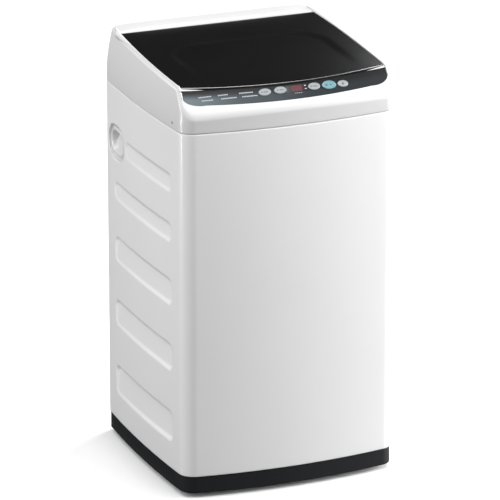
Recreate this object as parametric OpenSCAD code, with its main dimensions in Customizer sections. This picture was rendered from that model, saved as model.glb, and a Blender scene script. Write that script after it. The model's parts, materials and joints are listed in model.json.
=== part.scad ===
// Compact top load washing machine: sheet steel cabinet, hanging tub, spinning basket, pulsator, belt drive.
// Millimetres, +Z up, +Y to the rear, origin on the floor under the middle of the machine.

/* [Cabinet] */
// Width across the crowned sides
body_w = 510; // [504:1:516]
// Depth from the crown of the front to the rear edge
body_d = 490; // [484:1:496]
// Crown of the front face, in plan
front_bow = 25; // [20:1:28]
// Crown of each side face, in plan
side_bow = 10; // [7:1:12]
// Radius of the two front corners, in plan
front_corner_r = 36; // [32:1:40]
// Thickness of the cabinet sheet
sheet_t = 1.2; // [1.0:0.1:1.4]
// Height of the cabinet's lower edge above the floor
border_z = 50; // [48:1:52]
// Height of the joint between cabinet and top cover
seam_z = 821; // [818:1:824]

/* [Top] */
// Height of the lid's front edge at its middle
lid_front_z = 909; // [907:1:912]
// Slope of the lid, rising to the rear, in degrees
lid_tilt = 3.5; // [3.0:0.1:4.0]
// Width of the lid
lid_w = 470; // [462:1:472]
// Thickness of the lid
lid_t = 5; // [4.5:0.5:5.5]
// Radius of the loading mouth
mouth_r = 172; // [168:1:174]

/* [Wash unit] */
// Outer radius of the outer tub
tub_r = 212; // [208:1:214]
// Outer radius of the basket
basket_r = 190; // [186:1:192]
// Height of the outer tub's underside above the floor
tub_floor_z = 200; // [198:1:202]
// Distance from the basket's axis to the motor's axis
motor_offset = 140; // [136:1:144]

/* [Hidden] */
$fn = 64;

// ---------------------------------------------------------------- plan outline
half_w = body_w / 2;
half_d = body_d / 2;
rear_corner_r = 25;
front_r = (half_w * half_w + front_bow * front_bow) / (2 * front_bow);
side_r = (half_d * half_d + side_bow * side_bow) / (2 * side_bow);
front_c = [0, front_r - half_d];
side_c = [half_w - side_r, 0];

function heading(from, to) = atan2(to[1] - from[1], to[0] - from[0]);
function arc(c, r, a0, a1, n) = [for (i = [0:n]) c + r * [cos(a0 + (a1 - a0) * i / n), sin(a0 + (a1 - a0) * i / n)]];
// Where two circles meet, on the left of the line from c1 to c2
function circles_meet(c1, r1, c2, r2) =
    let (d = norm(c2 - c1), along = (r1 * r1 - r2 * r2 + d * d) / (2 * d), u = (c2 - c1) / d)
    c1 + along * u + sqrt(r1 * r1 - along * along) * [-u[1], u[0]];
front_fillet_c = circles_meet(front_c, front_r - front_corner_r, side_c, side_r - front_corner_r);
rear_fillet_y = half_d - rear_corner_r;
rear_fillet_c = [sqrt(pow(side_r - rear_corner_r, 2) - pow(rear_fillet_y, 2)) + side_c[0], rear_fillet_y];
front_a = heading(front_c, front_fillet_c);
side_a0 = heading(side_c, front_fillet_c);
side_a1 = heading(side_c, rear_fillet_c);

// Right half of the plan, inset by t, from the middle of the front to the rear
function half_outline(t) = concat(
    arc(front_c, front_r - t, -90, front_a, 12),
    [for (p = arc(front_fillet_c, front_corner_r - t, front_a, side_a0, 8)) p],
    arc(side_c, side_r - t, side_a0, side_a1, 8),
    arc(rear_fillet_c, rear_corner_r - t, side_a1, 90, 6));
function mirrored(half) = concat(half, [for (i = [len(half) - 1:-1:1]) [-half[i][0], half[i][1]]]);
module plan(t = 0) polygon(mirrored(half_outline(t)));
module plan_ring(t0, t1) difference() {
    plan(t0);
    plan(t1);
}
module both_sides() {
    children();
    mirror([1, 0, 0]) children();
}
module four_corners() both_sides() {
    children();
    mirror([0, 1, 0]) children();
}

// ---------------------------------------------------------------- sloped lid plane and control panel
lid_front_y = -212;
lid_front_bow = 38;
lid_len = 400;
rim_gap = 3;
// Local frame of the lid: origin at the middle of its front edge, z = 0 on its top face
module on_lid() translate([0, lid_front_y, lid_front_z]) rotate([lid_tilt, 0, 0]) children();
lid_half = lid_w / 2;
lid_front_r = (lid_half * lid_half + lid_front_bow * lid_front_bow) / (2 * lid_front_bow);
lid_front_a = asin(lid_half / lid_front_r);
lid_corner_r = 7;
// Plan of the lid in its own frame, grown by g
function lid_front_arc(g) = arc([0, lid_front_r], lid_front_r + g, -90 - lid_front_a, -90 + lid_front_a, 20);
module lid_plan(g = 0) {
    a = lid_front_arc(g);
    last = len(a) - 1;
    polygon(concat([for (i = [1:last - 1]) a[i]],
        [[lid_half + g, a[last][1] + lid_corner_r], [lid_half + g, lid_len + g - 3], [lid_half + g - 3, lid_len + g],
         [-lid_half - g + 3, lid_len + g], [-lid_half - g, lid_len + g - 3], [-lid_half - g, a[0][1] + lid_corner_r]]));
}
// Everything more than h above the lid plane
module above_lid_plane(h) on_lid() translate([-400, -300, h]) cube([800, 1100, 300]);

panel_a = 50;
panel_mid = [0, -half_d + 24, lid_front_z - 19];
panel_half = 236;
panel_bow = 20;
panel_t = 3;
wall_behind_panel = 6;
function panel_n(x) = -panel_bow * pow(x / panel_half, 2);
function panel_yaw(x) = atan(2 * panel_bow * x / (panel_half * panel_half));
// Frame of the sloped panel: z is its normal at the middle, y runs up the slope
module on_slope() translate(panel_mid) rotate([panel_a, 0, 0]) children();
// The controls' line lies this far up the slope
control_rise = 4.5;
// The same frame moved along the bow to x, up to the controls' line, and turned to face outward there
module on_panel(x) on_slope() translate([x, control_rise, panel_n(x)]) rotate([0, panel_yaw(x), 0]) children();
// Slab that follows the bowed face, from a to b along its normal
module panel_slab(a, b, reach = 262, n = 20) {
    xs = [for (i = [0:n]) -reach + 2 * reach * i / n];
    on_slope() translate([0, 60, 0]) rotate([90, 0, 0]) linear_extrude(110) polygon(concat(
        [for (i = [0:n]) [xs[i], panel_n(xs[i]) + a]],
        [for (i = [n:-1:0]) [xs[i], panel_n(xs[i]) + b]]));
}
panel_corner = [46, 26];
// Outline of the dark fascia seen along the normal, grown by g
function fascia_low(x) = 22.5 * pow(x / panel_half, 2) - 20;
function fascia_half(g) = concat(
    [for (i = [0:8]) let (x = (panel_half - panel_corner[0]) * i / 8) [x, fascia_low(x) - g]],
    [for (i = [1:8]) let (a = -90 + 90 * i / 8, x = panel_half - panel_corner[0] + (panel_corner[0] + g) * cos(a))
        [x, fascia_low(panel_half - panel_corner[0]) + panel_corner[1] + (panel_corner[1] + g) * sin(a)]],
    [[panel_half + g, 60]]);
module fascia_prism(g, z0, z1) on_slope() translate([0, 0, z0]) linear_extrude(z1 - z0) polygon(mirrored(fascia_half(g)));

// Buttons: place along x, width and height of the oval cap
button_size = [28, 16.5];
start_size = [33, 19.5];
power_size = [25, 15.5];
button_x = [-59, -24, 54, 89, 122];
button_gap = 0.35;
button_proud = 2.2;
button_len = 11;
function ellipse(size, g) = [for (i = [0:39]) [(size[0] / 2 + g) * cos(9 * i), (size[1] / 2 + g) * sin(9 * i)]];
function button_dims(i) = i == 3 ? start_size : i == 4 ? power_size : button_size;
window_size = [48, 17];
window_x = 15;
module button_holes() for (i = [0:4]) on_panel(button_x[i])
    translate([0, 0, -20]) linear_extrude(40) polygon(ellipse(button_dims(i), button_gap));
module window_prism(g, z0, z1) on_panel(window_x) translate([-window_size[0] / 2 - g, -window_size[1] / 2 - g, z0])
    cube([window_size[0] + 2 * g, window_size[1] + 2 * g, z1 - z0]);
light_r = 1.3;
light_x = [-206, -164, -118];
// Two rows of lights that climb a little towards the left end
light_places = [for (row = [0:1], x = light_x) [x + 5 * row, 4.4 - 8.4 * row + 0.055 * (-x - 90)]];
module light_rods(g, z0, z1) for (p = light_places) on_panel(p[0]) translate([0, p[1], z0]) cylinder(r = light_r + g, h = z1 - z0);

// ---------------------------------------------------------------- cabinet
// Side ribs: bottom and top height, depth of the pressing
ribs = [[113, 179, 6], [275, 333, 5.5], [424, 480, 5], [566, 606, 4], [678, 717, 3]];
rib_y = [-162, 172];
handle_y = 160;
handle_z = 696;
handle_w = 104;
handle_h = 76;
top_rib_rear = handle_y - handle_w / 2 - 8;
// Rounded prism along x through both sides, between two heights and two depths
module side_prism(y0, y1, z0, z1, r) rotate([90, 0, 90]) translate([0, 0, -300]) linear_extrude(600) union() {
    translate([y0 + r, z0]) square([y1 - y0 - 2 * r, z1 - z0]);
    translate([y0, z0 + r]) square([y1 - y0, z1 - z0 - 2 * r]);
    for (y = [y0 + r, y1 - r], z = [z0 + r, z1 - r]) translate([y, z]) circle(r);
}
function rib_rear(i) = i == 4 ? top_rib_rear : rib_y[1];
module rib_pressing(i, g, d0, d1) intersection() {
    side_prism(rib_y[0] - g, rib_rear(i) + g, ribs[i][0] - g, ribs[i][1] + g, 14 + g);
    linear_extrude(seam_z) difference() {
        plan(d0);
        plan(d1);
        square([2 * half_w - 90, 2 * body_d], center = true);
    }
}
module handle_hole(g) intersection() {
    side_prism(handle_y - handle_w / 2 - g, handle_y + handle_w / 2 + g, handle_z - handle_h / 2 - g,
        handle_z + handle_h / 2 + g, handle_h / 2 + g - 1);
    translate([0, 0, seam_z / 2]) cube([2 * body_w, 2 * body_d, seam_z], center = true);
}
rear_opening = 205;
rear_panel_half = rear_opening + 14;
rear_panel_z = border_z + 12.4;
module cabinet() color("white") difference() {
    union() {
        translate([0, 0, border_z]) linear_extrude(seam_z - border_z) plan_ring(0, sheet_t);
        for (i = [0:4]) rib_pressing(i, sheet_t, 0.5, ribs[i][2] + sheet_t);
    }
    for (i = [0:4]) rib_pressing(i, 0, -3, ribs[i][2]);
    handle_hole(0);
    translate([-rear_opening, half_d - 20, 0]) cube([2 * rear_opening, 40, 1000]);
    screw_bores(screw_head_r + 0.2);
}

rear_face = half_d - sheet_t - 0.2;
drain_x = -130;
drain_z = 110;
gland_x = 185;
gland_z = 130;
screw_z = [for (i = [0:4]) 90 + 170 * i];
screw_x = rear_opening + 7;
screw_head_r = 3.2;
screw_shank_r = 1.7;
module screw_bores(r) both_sides() for (z = screw_z)
    translate([screw_x, half_d - 10, z]) rotate([-90, 0, 0]) cylinder(r = r, h = 20);
vent_z = [for (i = [0:5]) 300 + 16 * i];
module rear_panel() color("gainsboro") difference() {
    translate([-rear_panel_half, rear_face - sheet_t, rear_panel_z]) cube([2 * rear_panel_half, sheet_t, seam_z - 2 - rear_panel_z]);
    translate([drain_x, rear_face + 5, drain_z]) rotate([90, 0, 0]) cylinder(r = 30, h = 20);
    translate([gland_x, rear_face + 5, gland_z]) rotate([90, 0, 0]) cylinder(r = 9.2, h = 20);
    for (z = vent_z, x = [-60, -17, 26]) translate([x, rear_face - 5, z]) cube([34, 10, 5]);
    screw_bores(screw_shank_r + 0.1);
}
module rear_panel_screws() color("silver") both_sides() for (z = screw_z)
    translate([screw_x, rear_face + 0.1, z]) rotate([-90, 0, 0]) {
        cylinder(r = screw_head_r, h = sheet_t - 0.2);
        translate([0, 0, -8]) cylinder(r = screw_shank_r, h = 8);
    }

// ---------------------------------------------------------------- base and feet
foot_place = [190, 175];
boss_r = 22;
skirt_z = 11;
stem_r = 5;
pad_r = 20;
pad_h = skirt_z - 0.4;
base_in = [150, 120, 185];
module base_frame() color("dimgray") difference() {
    union() {
        translate([0, 0, skirt_z]) linear_extrude(border_z - skirt_z) plan_ring(2, 6);
        translate([0, 0, border_z]) linear_extrude(12) plan_ring(sheet_t + 0.4, 6);
        translate([0, 0, border_z - 4]) linear_extrude(4) difference() {
            plan(4);
            translate([-base_in[0], -base_in[1]]) square([2 * base_in[0], base_in[1] + base_in[2]]);
        }
        four_corners() translate([foot_place[0], foot_place[1], skirt_z]) cylinder(r = boss_r, h = border_z - skirt_z - 2);
    }
    four_corners() translate([foot_place[0], foot_place[1], skirt_z - 1]) cylinder(r = stem_r + 0.05, h = 33);
}
module bottom_guard() color("black") translate([0, 0, skirt_z + 2]) linear_extrude(2) difference() {
    plan(6.4);
    four_corners() translate(foot_place) circle(boss_r + 0.4);
    for (x = [-110, -34, 42], i = [-4:4]) translate([x, 26 * i - 5]) square([68, 10]);
}
module foot(x, y, stem_h) translate([x, y, 0]) {
    cylinder(r = pad_r, h = pad_h);
    translate([0, 0, pad_h]) cylinder(r = stem_r, h = stem_h);
}
module foot_front_left() color("black") foot(-foot_place[0], -foot_place[1], 28);
module foot_front_right() color("black") foot(foot_place[0], -foot_place[1], 28);
module rear_feet() color("black") both_sides() {
    translate([foot_place[0], foot_place[1], 0]) cylinder(r = pad_r, h = skirt_z);
    translate([foot_place[0], foot_place[1], skirt_z]) cylinder(r = stem_r, h = 12);
}

// ---------------------------------------------------------------- side grips and plugs
grip_wall = 2;
grip_depth = 26;
// Cup behind the hole in the side, with a flange against the inside of the sheet
module grip_cup() intersection() {
    difference() {
        union() {
            handle_hole(-0.3);
            intersection() {
                handle_hole(6);
                linear_extrude(seam_z) plan(sheet_t + 0.2);
            }
        }
        difference() {
            handle_hole(-0.3 - grip_wall);
            linear_extrude(seam_z) plan(grip_depth - grip_wall);
        }
        difference() {
            linear_extrude(seam_z) plan(sheet_t + 0.2 + grip_wall);
            handle_hole(-0.3);
        }
    }
    linear_extrude(seam_z) difference() {
        plan(0);
        plan(grip_depth);
    }
    translate([0, handle_y - 70, handle_z - 70]) cube([body_w, 140, 140]);
}
module side_handle_right() color("whitesmoke") grip_cup();
module side_handle_left() color("whitesmoke") mirror([1, 0, 0]) grip_cup();
plug_at = [half_w - 9, -170, seam_z + 14];
module side_plugs() color("gray") both_sides() intersection() {
    translate(plug_at) rotate([0, 90, 0]) cylinder(r = 3.4, h = 40, center = true);
    linear_extrude(1000) plan_ring(-0.4, 2.8);
}

// ---------------------------------------------------------------- top cover
cover_t = 3;
recess_d = 16;
deck_y = 191;
// Section across the machine: the sides lean inward towards the rim
lean = [[255.5, seam_z - 1], [255.5, 835], [251, 890], [247, 912], [243, 928], [243, 960]];
// Section from front to rear: the rear edge leans inward too
rear_lean = [[-300, seam_z - 1], [245.5, seam_z - 1], [245.5, 905], [243, 925], [240, 960], [-300, 960]];
// Prism of that section, inset by t
module lean_prism(t) translate([0, 300, 0]) rotate([90, 0, 0]) linear_extrude(600) polygon(concat(
    [for (p = lean) [p[0] - t, p[1]]],
    [for (i = [len(lean) - 1:-1:0]) [t - lean[i][0], lean[i][1]]]));
// Outer form: the plan of the cabinet, leaning inward, cut off at the lid's plane
module cover_form() intersection() {
    difference() {
        translate([0, 0, seam_z]) linear_extrude(140) plan(0);
        above_lid_plane(0);
        panel_slab(0, 90);
    }
    lean_prism(0);
    translate([-300, 0, 0]) rotate([90, 0, 90]) linear_extrude(600) polygon(rear_lean);
}
// Room for the rear corners of the lid as it swings down behind its hinge
swing_room = 22;
module recess_plan() {
    a = lid_front_arc(-16);
    last = len(a) - 1;
    polygon(concat([for (i = [1:last - 1]) a[i]], [[lid_half - 4, a[last][1] + 12], [lid_half - 4, deck_y - lid_front_y],
        [-lid_half + 4, deck_y - lid_front_y], [-lid_half + 4, a[0][1] + 12]]));
    translate([-lid_half - 1.5, lid_len - swing_room]) square([2 * lid_half + 3, swing_room + rim_gap]);
}
port_x = 165;
port_z = 876;
pocket = [64, 26, 52];
module port_pocket(g) translate([port_x - pocket[0] / 2 - g, half_d - pocket[1] - g, port_z - pocket[2] / 2 - g])
    cube([pocket[0] + 2 * g, pocket[1] + 2 * g + 10, pocket[2] + 2 * g]);
drawer_w = 104;
drawer_z0 = 846;
drawer_z1 = 892;
module drawer_slot(g) translate([-drawer_w / 2 - g, 120, drawer_z0 - g]) cube([drawer_w + 2 * g, 100, drawer_z1 - drawer_z0 + 2 * g]);
module top_cover() color("white") {
    difference() {
        cover_form();
        on_lid() translate([0, 0, -lid_t - 0.8]) linear_extrude(80) lid_plan(rim_gap);
        on_lid() translate([0, 0, -recess_d]) linear_extrude(80) recess_plan();
        difference() {
            intersection() {
                translate([0, 0, seam_z - 1]) linear_extrude(130) plan(cover_t);
                lean_prism(cover_t);
            }
            above_lid_plane(-recess_d - cover_t);
            panel_slab(-wall_behind_panel, 90);
            translate([0, 0, seam_z - 2]) cylinder(r = mouth_r + cover_t, h = 200);
            port_pocket(cover_t);
        }
        translate([0, 0, seam_z - 50]) cylinder(r = mouth_r, h = 300);
        port_pocket(0);
        translate([port_x, half_d, port_z]) rotate([90, 0, 0]) cylinder(r = 14.2, h = 60);
        drawer_slot(0.6);
        intersection() {
            linear_extrude(1000) plan(8);
            translate([-300, deck_y - 3, 0]) cube([600, 200, 1000]);
            above_lid_plane(-12);
        }
        intersection() {
            panel_slab(-panel_t, 1);
            fascia_prism(0.2, -40, 40);
        }
        button_holes();
        window_prism(-2, -20, 20);
        light_rods(0.1, -20, 20);
        hinge_rods(pin_r + 0.05, lid_half - 6, pin_end_x);
        both_sides() translate(plug_at) rotate([0, 90, 0]) cylinder(r = 3.5, h = 60, center = true);
    }
}
// Rear deck: a shallow hollow cap behind the lid
module deck_form(t) hull() {
    intersection() {
        linear_extrude(1000) plan(8 + cover_t * t + 0.3);
        translate([-300, deck_y + cover_t * t, 0]) cube([600, 200, 1000]);
        on_lid() translate([-400, -200, -12 + 0.2]) cube([800, 800, 1]);
    }
    intersection() {
        linear_extrude(1000) plan(11 + cover_t * t);
        translate([-300, deck_y + cover_t * t, 0]) cube([600, 200, 1000]);
        on_lid() translate([-400, -200, 1 - cover_t * t]) cube([800, 800, 1]);
    }
    intersection() {
        linear_extrude(1000) plan(20 + cover_t * t);
        translate([-300, deck_y + 20, 0]) cube([600, 200, 1000]);
        on_lid() translate([-400, -200, 4.5 - cover_t * t]) cube([800, 800, 1]);
    }
}
module rear_deck() color("white") difference() {
    deck_form(0);
    deck_form(1);
    on_lid() translate([-400, -200, -13]) cube([800, 800, 1.6]);
}

// ---------------------------------------------------------------- lid
pivot_back = 7;
pivot_drop = lid_t;
pin_r = 2.5;
ear_x = [212, 230];
pin_end_x = 240;
pivot_y = lid_len - pivot_back;
// Pin-sized rods on the hinge axis, from x0 to x1 on both sides
module hinge_rods(r, x0, x1) both_sides() on_lid() translate([x0, pivot_y, -pivot_drop])
    rotate([0, 90, 0]) cylinder(r = r, h = x1 - x0);
module lid() color([0.08, 0.08, 0.09]) difference() {
    union() {
        on_lid() translate([0, 0, -lid_t]) linear_extrude(lid_t) lid_plan(-1.2);
        hinge_rods(pin_r + 2.5, ear_x[0], ear_x[1]);
    }
    hinge_rods(pin_r + 0.02, ear_x[0], pin_end_x);
}
// Bright strip that wraps the front and both side edges of the lid
module lid_trim() color("silver") on_lid() translate([0, 0, -lid_t]) difference() {
    linear_extrude(lid_t - 1) lid_plan(0);
    translate([0, 0, -1]) linear_extrude(lid_t + 1) lid_plan(-1.2);
    translate([-300, lid_len - 12, -1]) cube([600, 100, 20]);
}
module lid_hinge_pins() color("silver") hinge_rods(pin_r, ear_x[0] + 0.5, pin_end_x - 0.5);
magnet_at = [150, 38];
module lid_magnet() color("gray") on_lid() translate([magnet_at[0], magnet_at[1], -lid_t - 3]) cube([14, 8, 3]);
module lid_switch() color("black") on_lid() translate([magnet_at[0] - 3, magnet_at[1] - 2, -recess_d - cover_t - 8]) cube([20, 12, 8]);

// ---------------------------------------------------------------- controls
module control_panel() color([0.23, 0.27, 0.3]) difference() {
    intersection() {
        panel_slab(-panel_t, 0);
        fascia_prism(0, -40, 40);
        on_lid() translate([-400, -200, -300 - lid_t - 1.2]) cube([800, 800, 300]);
    }
    button_holes();
    window_prism(0, -20, 20);
    light_rods(0.1, -20, 20);
}
module display_window() color([0.3, 0.02, 0.04]) intersection() {
    panel_slab(-panel_t, 0);
    window_prism(-0.1, -20, 20);
}
module indicator_lights() color("lightyellow") intersection() {
    light_rods(0, -8, 20);
    panel_slab(-panel_t - 2, 0.1);
}
board_z = -22;
module control_board() color("darkgreen") on_panel(31) translate([0, -1, board_z]) {
    translate([-115, -16, 0]) cube([230, 30, 1.6]);
    for (x = button_x) translate([x - 34, -2, 1.6]) cube([6, 6, 2.4]);
}
module button(i) on_panel(button_x[i]) {
    translate([0, 0, button_proud - button_len]) linear_extrude(button_len) polygon(ellipse(button_dims(i), 0));
    translate([0, 0, button_proud - button_len - 2]) cylinder(r = 3, h = 2);
}
module button_program() color("silver") button(0);
module button_water_level() color("silver") button(1);
module button_delay() color("silver") button(2);
module button_start() color([0.55, 0.8, 0.85]) button(3);
module button_power() color("silver") button(4);

// ---------------------------------------------------------------- water inlet and dispenser
port_r = 13.2;
thread_len = 22;
module inlet_valve() color("ivory") difference() {
    union() {
        translate([port_x, half_d - 3, port_z]) rotate([90, 0, 0]) cylinder(r = port_r, h = thread_len);
        translate([port_x, half_d - 4, port_z]) rotate([90, 0, 0]) cylinder(r = port_r - 0.8, h = pocket[1] + 3);
        translate([port_x, half_d - pocket[1] - cover_t - 0.3, port_z]) rotate([90, 0, 0]) cylinder(r = 19, h = 5);
        translate([port_x - 15, half_d - pocket[1] - cover_t - 29, port_z - 17]) cube([30, 25, 34]);
    }
    translate([port_x, half_d, port_z]) rotate([90, 0, 0]) cylinder(r = 9, h = 40);
}
pipe_y = half_d - pocket[1] - cover_t - 17;
housing_t = 2;
module fill_pipe() color("ivory") translate([drawer_w / 2 + housing_t + 0.6, pipe_y, port_z + 4]) rotate([0, 90, 0]) difference() {
    cylinder(r = 8, h = port_x - 15 - drawer_w / 2 - housing_t - 0.6);
    translate([0, 0, -1]) cylinder(r = 6, h = 200);
}
housing_y = [176, 224];
module dispenser_housing() color("whitesmoke") difference() {
    translate([-drawer_w / 2 - housing_t - 0.6, housing_y[0], drawer_z0 - housing_t - 0.6])
        cube([drawer_w + 2 * housing_t + 1.2, housing_y[1] - housing_y[0], drawer_z1 - drawer_z0 + 2 * housing_t + 1.2]);
    translate([-drawer_w / 2 - 0.6, housing_y[0] - 1, drawer_z0 - 0.6]) cube([drawer_w + 1.2, housing_y[1] - housing_y[0] - 2, drawer_z1 - drawer_z0 + 1.2]);
    translate([0, pipe_y, port_z + 4]) rotate([0, 90, 0]) cylinder(r = 6, h = 100);
    translate([0, 200, 800]) cylinder(r = 10, h = 60);
}
drawer_y = [160, 218];
module detergent_drawer() color("whitesmoke") difference() {
    translate([-drawer_w / 2, drawer_y[0], drawer_z0]) cube([drawer_w, drawer_y[1] - drawer_y[0], drawer_z1 - drawer_z0 - 6]);
    for (x = [-drawer_w / 2 + 2, 1]) translate([x, drawer_y[0] + 3, drawer_z0 + 3]) cube([drawer_w / 2 - 3, drawer_y[1] - drawer_y[0] - 5, 60]);
    translate([-25, drawer_y[0] - 1, drawer_z0 + 6]) cube([50, 2.4, 14]);
}
sensor_at = [-110, 205, 850];
module water_level_sensor() color("ivory") translate(sensor_at) {
    cylinder(r = 26, h = 16);
    translate([0, 0, -10]) cylinder(r = 3, h = 10);
}
chamber_at = [-110, 205];
hose_z = [262, 839.6];
module pressure_hose() color("black") translate([chamber_at[0], chamber_at[1], hose_z[0]])
    cylinder(r = 4, h = hose_z[1] - hose_z[0]);

// ---------------------------------------------------------------- rear services
module cord_gland() color("black") translate([gland_x, rear_face, gland_z]) rotate([90, 0, 0]) difference() {
    union() {
        translate([0, 0, -1.2]) cylinder(r = 12, h = 1.1);
        translate([0, 0, -1.2]) cylinder(r = 9, h = 12);
    }
    translate([0, 0, -3]) cylinder(r = 4, h = 20);
}
capacitor_at = [110, 226, 180];
module motor_capacitor() color("silver") translate(capacitor_at) {
    cylinder(r = 13, h = 70);
    translate([-6, 10, 25]) cube([12, 6, 20]);
}
spigot_r = [12, 15];
cup_r = 29;
cup_y = [212, 242];
module drain_outlet() color("gray") translate([drain_x, 0, drain_z]) rotate([-90, 0, 0]) difference() {
    union() {
        translate([0, 0, cup_y[0]]) cylinder(r = cup_r, h = cup_y[1] - cup_y[0]);
        translate([0, 0, cup_y[1] - 3]) cylinder(r = cup_r + 7, h = 2.9);
        translate([0, 0, cup_y[0] - 16]) cylinder(r = spigot_r[1], h = 18);
    }
    translate([0, 0, cup_y[0] + 2]) difference() {
        cylinder(r = cup_r - 2, h = 60);
        translate([0, 0, -1]) cylinder(r = spigot_r[1], h = 31.5);
    }
    translate([0, 0, cup_y[0] - 20]) cylinder(r = spigot_r[0], h = 100);
}
valve_at = [-80, 120];
hose_r = 14;
hose_high_z = 172;
module drain_hose() color("dimgray") {
    translate([drain_x, valve_at[1], drain_z]) rotate([-90, 0, 0]) cylinder(r = hose_r, h = cup_y[0] - 16.4 - valve_at[1]);
    translate([drain_x, valve_at[1], drain_z]) sphere(hose_r);
    translate([drain_x, valve_at[1], drain_z]) cylinder(r = hose_r, h = hose_high_z - drain_z);
    translate([drain_x, valve_at[1], hose_high_z]) sphere(hose_r);
    translate([drain_x, valve_at[1], hose_high_z]) rotate([0, 90, 0]) cylinder(r = hose_r, h = valve_at[0] - 26.4 - drain_x);
}

// ---------------------------------------------------------------- hanging suspension
bracket_z = 800;
rod_r = 4;
rod_z = [104, 809];
seat_z = 110;
cap_z = 214;
lug_z = 222;
module at_corners() four_corners() translate(foot_place) children();
module corner_brackets() color("silver") {
    translate([0, 0, bracket_z]) linear_extrude(3) difference() {
        plan(sheet_t + 0.3);
        square([2 * 152, 1000], center = true);
        square([1000, 2 * 140], center = true);
        at_corners() circle(rod_r + 0.5);
        translate([-rear_panel_half - 0.4, rear_face - sheet_t - 0.3]) square([2 * rear_panel_half + 0.8, 20]);
    }
    translate([0, 0, bracket_z + 3]) at_corners() difference() {
        cylinder(r = 12, h = 5.6);
        translate([0, 0, -1]) cylinder(r = rod_r + 0.5, h = 10);
    }
}
module suspension_rods() color("silver") at_corners() {
    translate([0, 0, rod_z[0]]) cylinder(r = rod_r, h = rod_z[1] - rod_z[0]);
    translate([0, 0, rod_z[1]]) cylinder(r = 9, h = 6);
    translate([0, 0, rod_z[0]]) cylinder(r = 8, h = 5.6);
}
module spring_seats() color("black") translate([0, 0, seat_z]) at_corners() difference() {
    union() {
        cylinder(r = 18, h = 3);
        cylinder(r = 9, h = 8);
    }
    translate([0, 0, -1]) cylinder(r = rod_r + 0.1, h = 20);
}
module spring_caps() color("black") translate([0, 0, cap_z]) at_corners() difference() {
    cylinder(r = 18, h = lug_z - cap_z - 0.3);
    translate([0, 0, -1]) cylinder(r = rod_r + 3, h = 20);
}
// Coil from z0 to z1 with closed ends: square wire of side w swept round radius r
module coil(r, w, z0, z1, turns, n = 12) {
    steps = turns * n;
    pts = [for (i = [0:steps]) let (a = 360 * i / n, z = z0 + w / 2 + (z1 - z0 - w) * i / steps)
        for (c = [[-1, -1], [1, -1], [1, 1], [-1, 1]])
            [(r + c[0] * w / 2) * cos(a), (r + c[0] * w / 2) * sin(a), z + c[1] * w / 2]];
    polyhedron(pts, concat([[0, 1, 2, 3]],
        [for (i = [0:steps - 1], k = [0:3]) let (p = 4 * i + k, q = 4 * i + (k + 1) % 4) each [[p, p + 4, q + 4], [p, q + 4, q]]],
        [[4 * steps + 3, 4 * steps + 2, 4 * steps + 1, 4 * steps]]));
}
module suspension_springs() color("silver") at_corners() coil(13.5, 3, seat_z + 3.3, cap_z - 0.3, 7);

// ---------------------------------------------------------------- tub
tub_wall = 3;
tub_top_z = 764;
tub_lip_z = 770;
drain_bore_r = 17;
collar_r = 27;
module tube(r_out, r_in, z0, z1) translate([0, 0, z0]) linear_extrude(z1 - z0) difference() {
    circle(r = r_out, $fn = 96);
    circle(r = r_in, $fn = 96);
}
module outer_tub() color("whitesmoke") difference() {
    union() {
        tube(tub_r, tub_r - tub_wall, tub_floor_z, tub_top_z);
        tube(tub_r + 4, tub_r - tub_wall, tub_top_z - 6, tub_top_z);
        translate([0, 0, tub_floor_z]) cylinder(r = tub_r, h = tub_wall, $fn = 96);
        translate([0, 0, lug_z]) linear_extrude(12) difference() {
            four_corners() hull() {
                translate(foot_place) circle(18);
                translate(0.72 * foot_place) circle(30);
            }
            circle(r = tub_r - tub_wall, $fn = 96);
        }
        translate([chamber_at[0] - 14, chamber_at[1] - 34, 236]) cube([28, 44, 25.7]);
    }
    translate([0, 0, tub_floor_z + tub_wall]) cylinder(r = tub_r - tub_wall, h = 800, $fn = 96);
    translate([0, 0, tub_floor_z - 1]) cylinder(r = collar_r, h = 20);
    translate([valve_at[0], valve_at[1], tub_floor_z - 1]) cylinder(r = drain_bore_r, h = 20);
    at_corners() translate([0, 0, lug_z - 1]) cylinder(r = rod_r + 3, h = 20);
}
ring_in_r = 166;
module tub_ring() color("whitesmoke") difference() {
    union() {
        tube(tub_r + 5, ring_in_r, tub_top_z + 0.3, tub_lip_z);
        tube(ring_in_r + 3, ring_in_r, tub_top_z + 0.3, tub_lip_z + 8);
    }
    translate([-20, 176, tub_top_z]) cube([40, 26, 20]);
}
module tub_seal() color("dimgray") tube(ring_in_r + 16, ring_in_r + 8, tub_lip_z + 0.2, tub_lip_z + 16);
plate_z = tub_floor_z - 4.3;
motor_r = 56;
module mounting_bracket() color("silver") translate([0, 0, plate_z]) linear_extrude(4) difference() {
    union() {
        circle(r = 92);
        translate([0, -62]) square([motor_offset, 124]);
        translate([motor_offset, 0]) circle(r = 62);
        translate([-180, -26]) square([180, 52]);
    }
    circle(r = collar_r);
    translate([motor_offset, 0]) circle(r = 30);
    for (a = [45:90:315]) rotate(a) translate([68, 0]) circle(r = 10);
}

// ---------------------------------------------------------------- drive
shaft_r = 14;
wash_shaft_r = 8;
case_z = [128, 191];
nose_r = 15;
module gear_case() color("silver") difference() {
    union() {
        translate([0, 0, case_z[0]]) cylinder(r = 50, h = case_z[1] - case_z[0]);
        translate([0, 0, case_z[1]]) cylinder(r = 70, h = plate_z - 0.3 - case_z[1]);
        translate([0, 0, plate_z - 1]) cylinder(r = collar_r - 0.2, h = 25);
        translate([0, 0, case_z[0] - 28]) cylinder(r = nose_r, h = 29);
    }
    translate([0, 0, case_z[0] + 20]) cylinder(r = shaft_r + 0.05, h = 200);
}
pulley_z = [99, 113];
belt_pitch = [74, 23];
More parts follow.
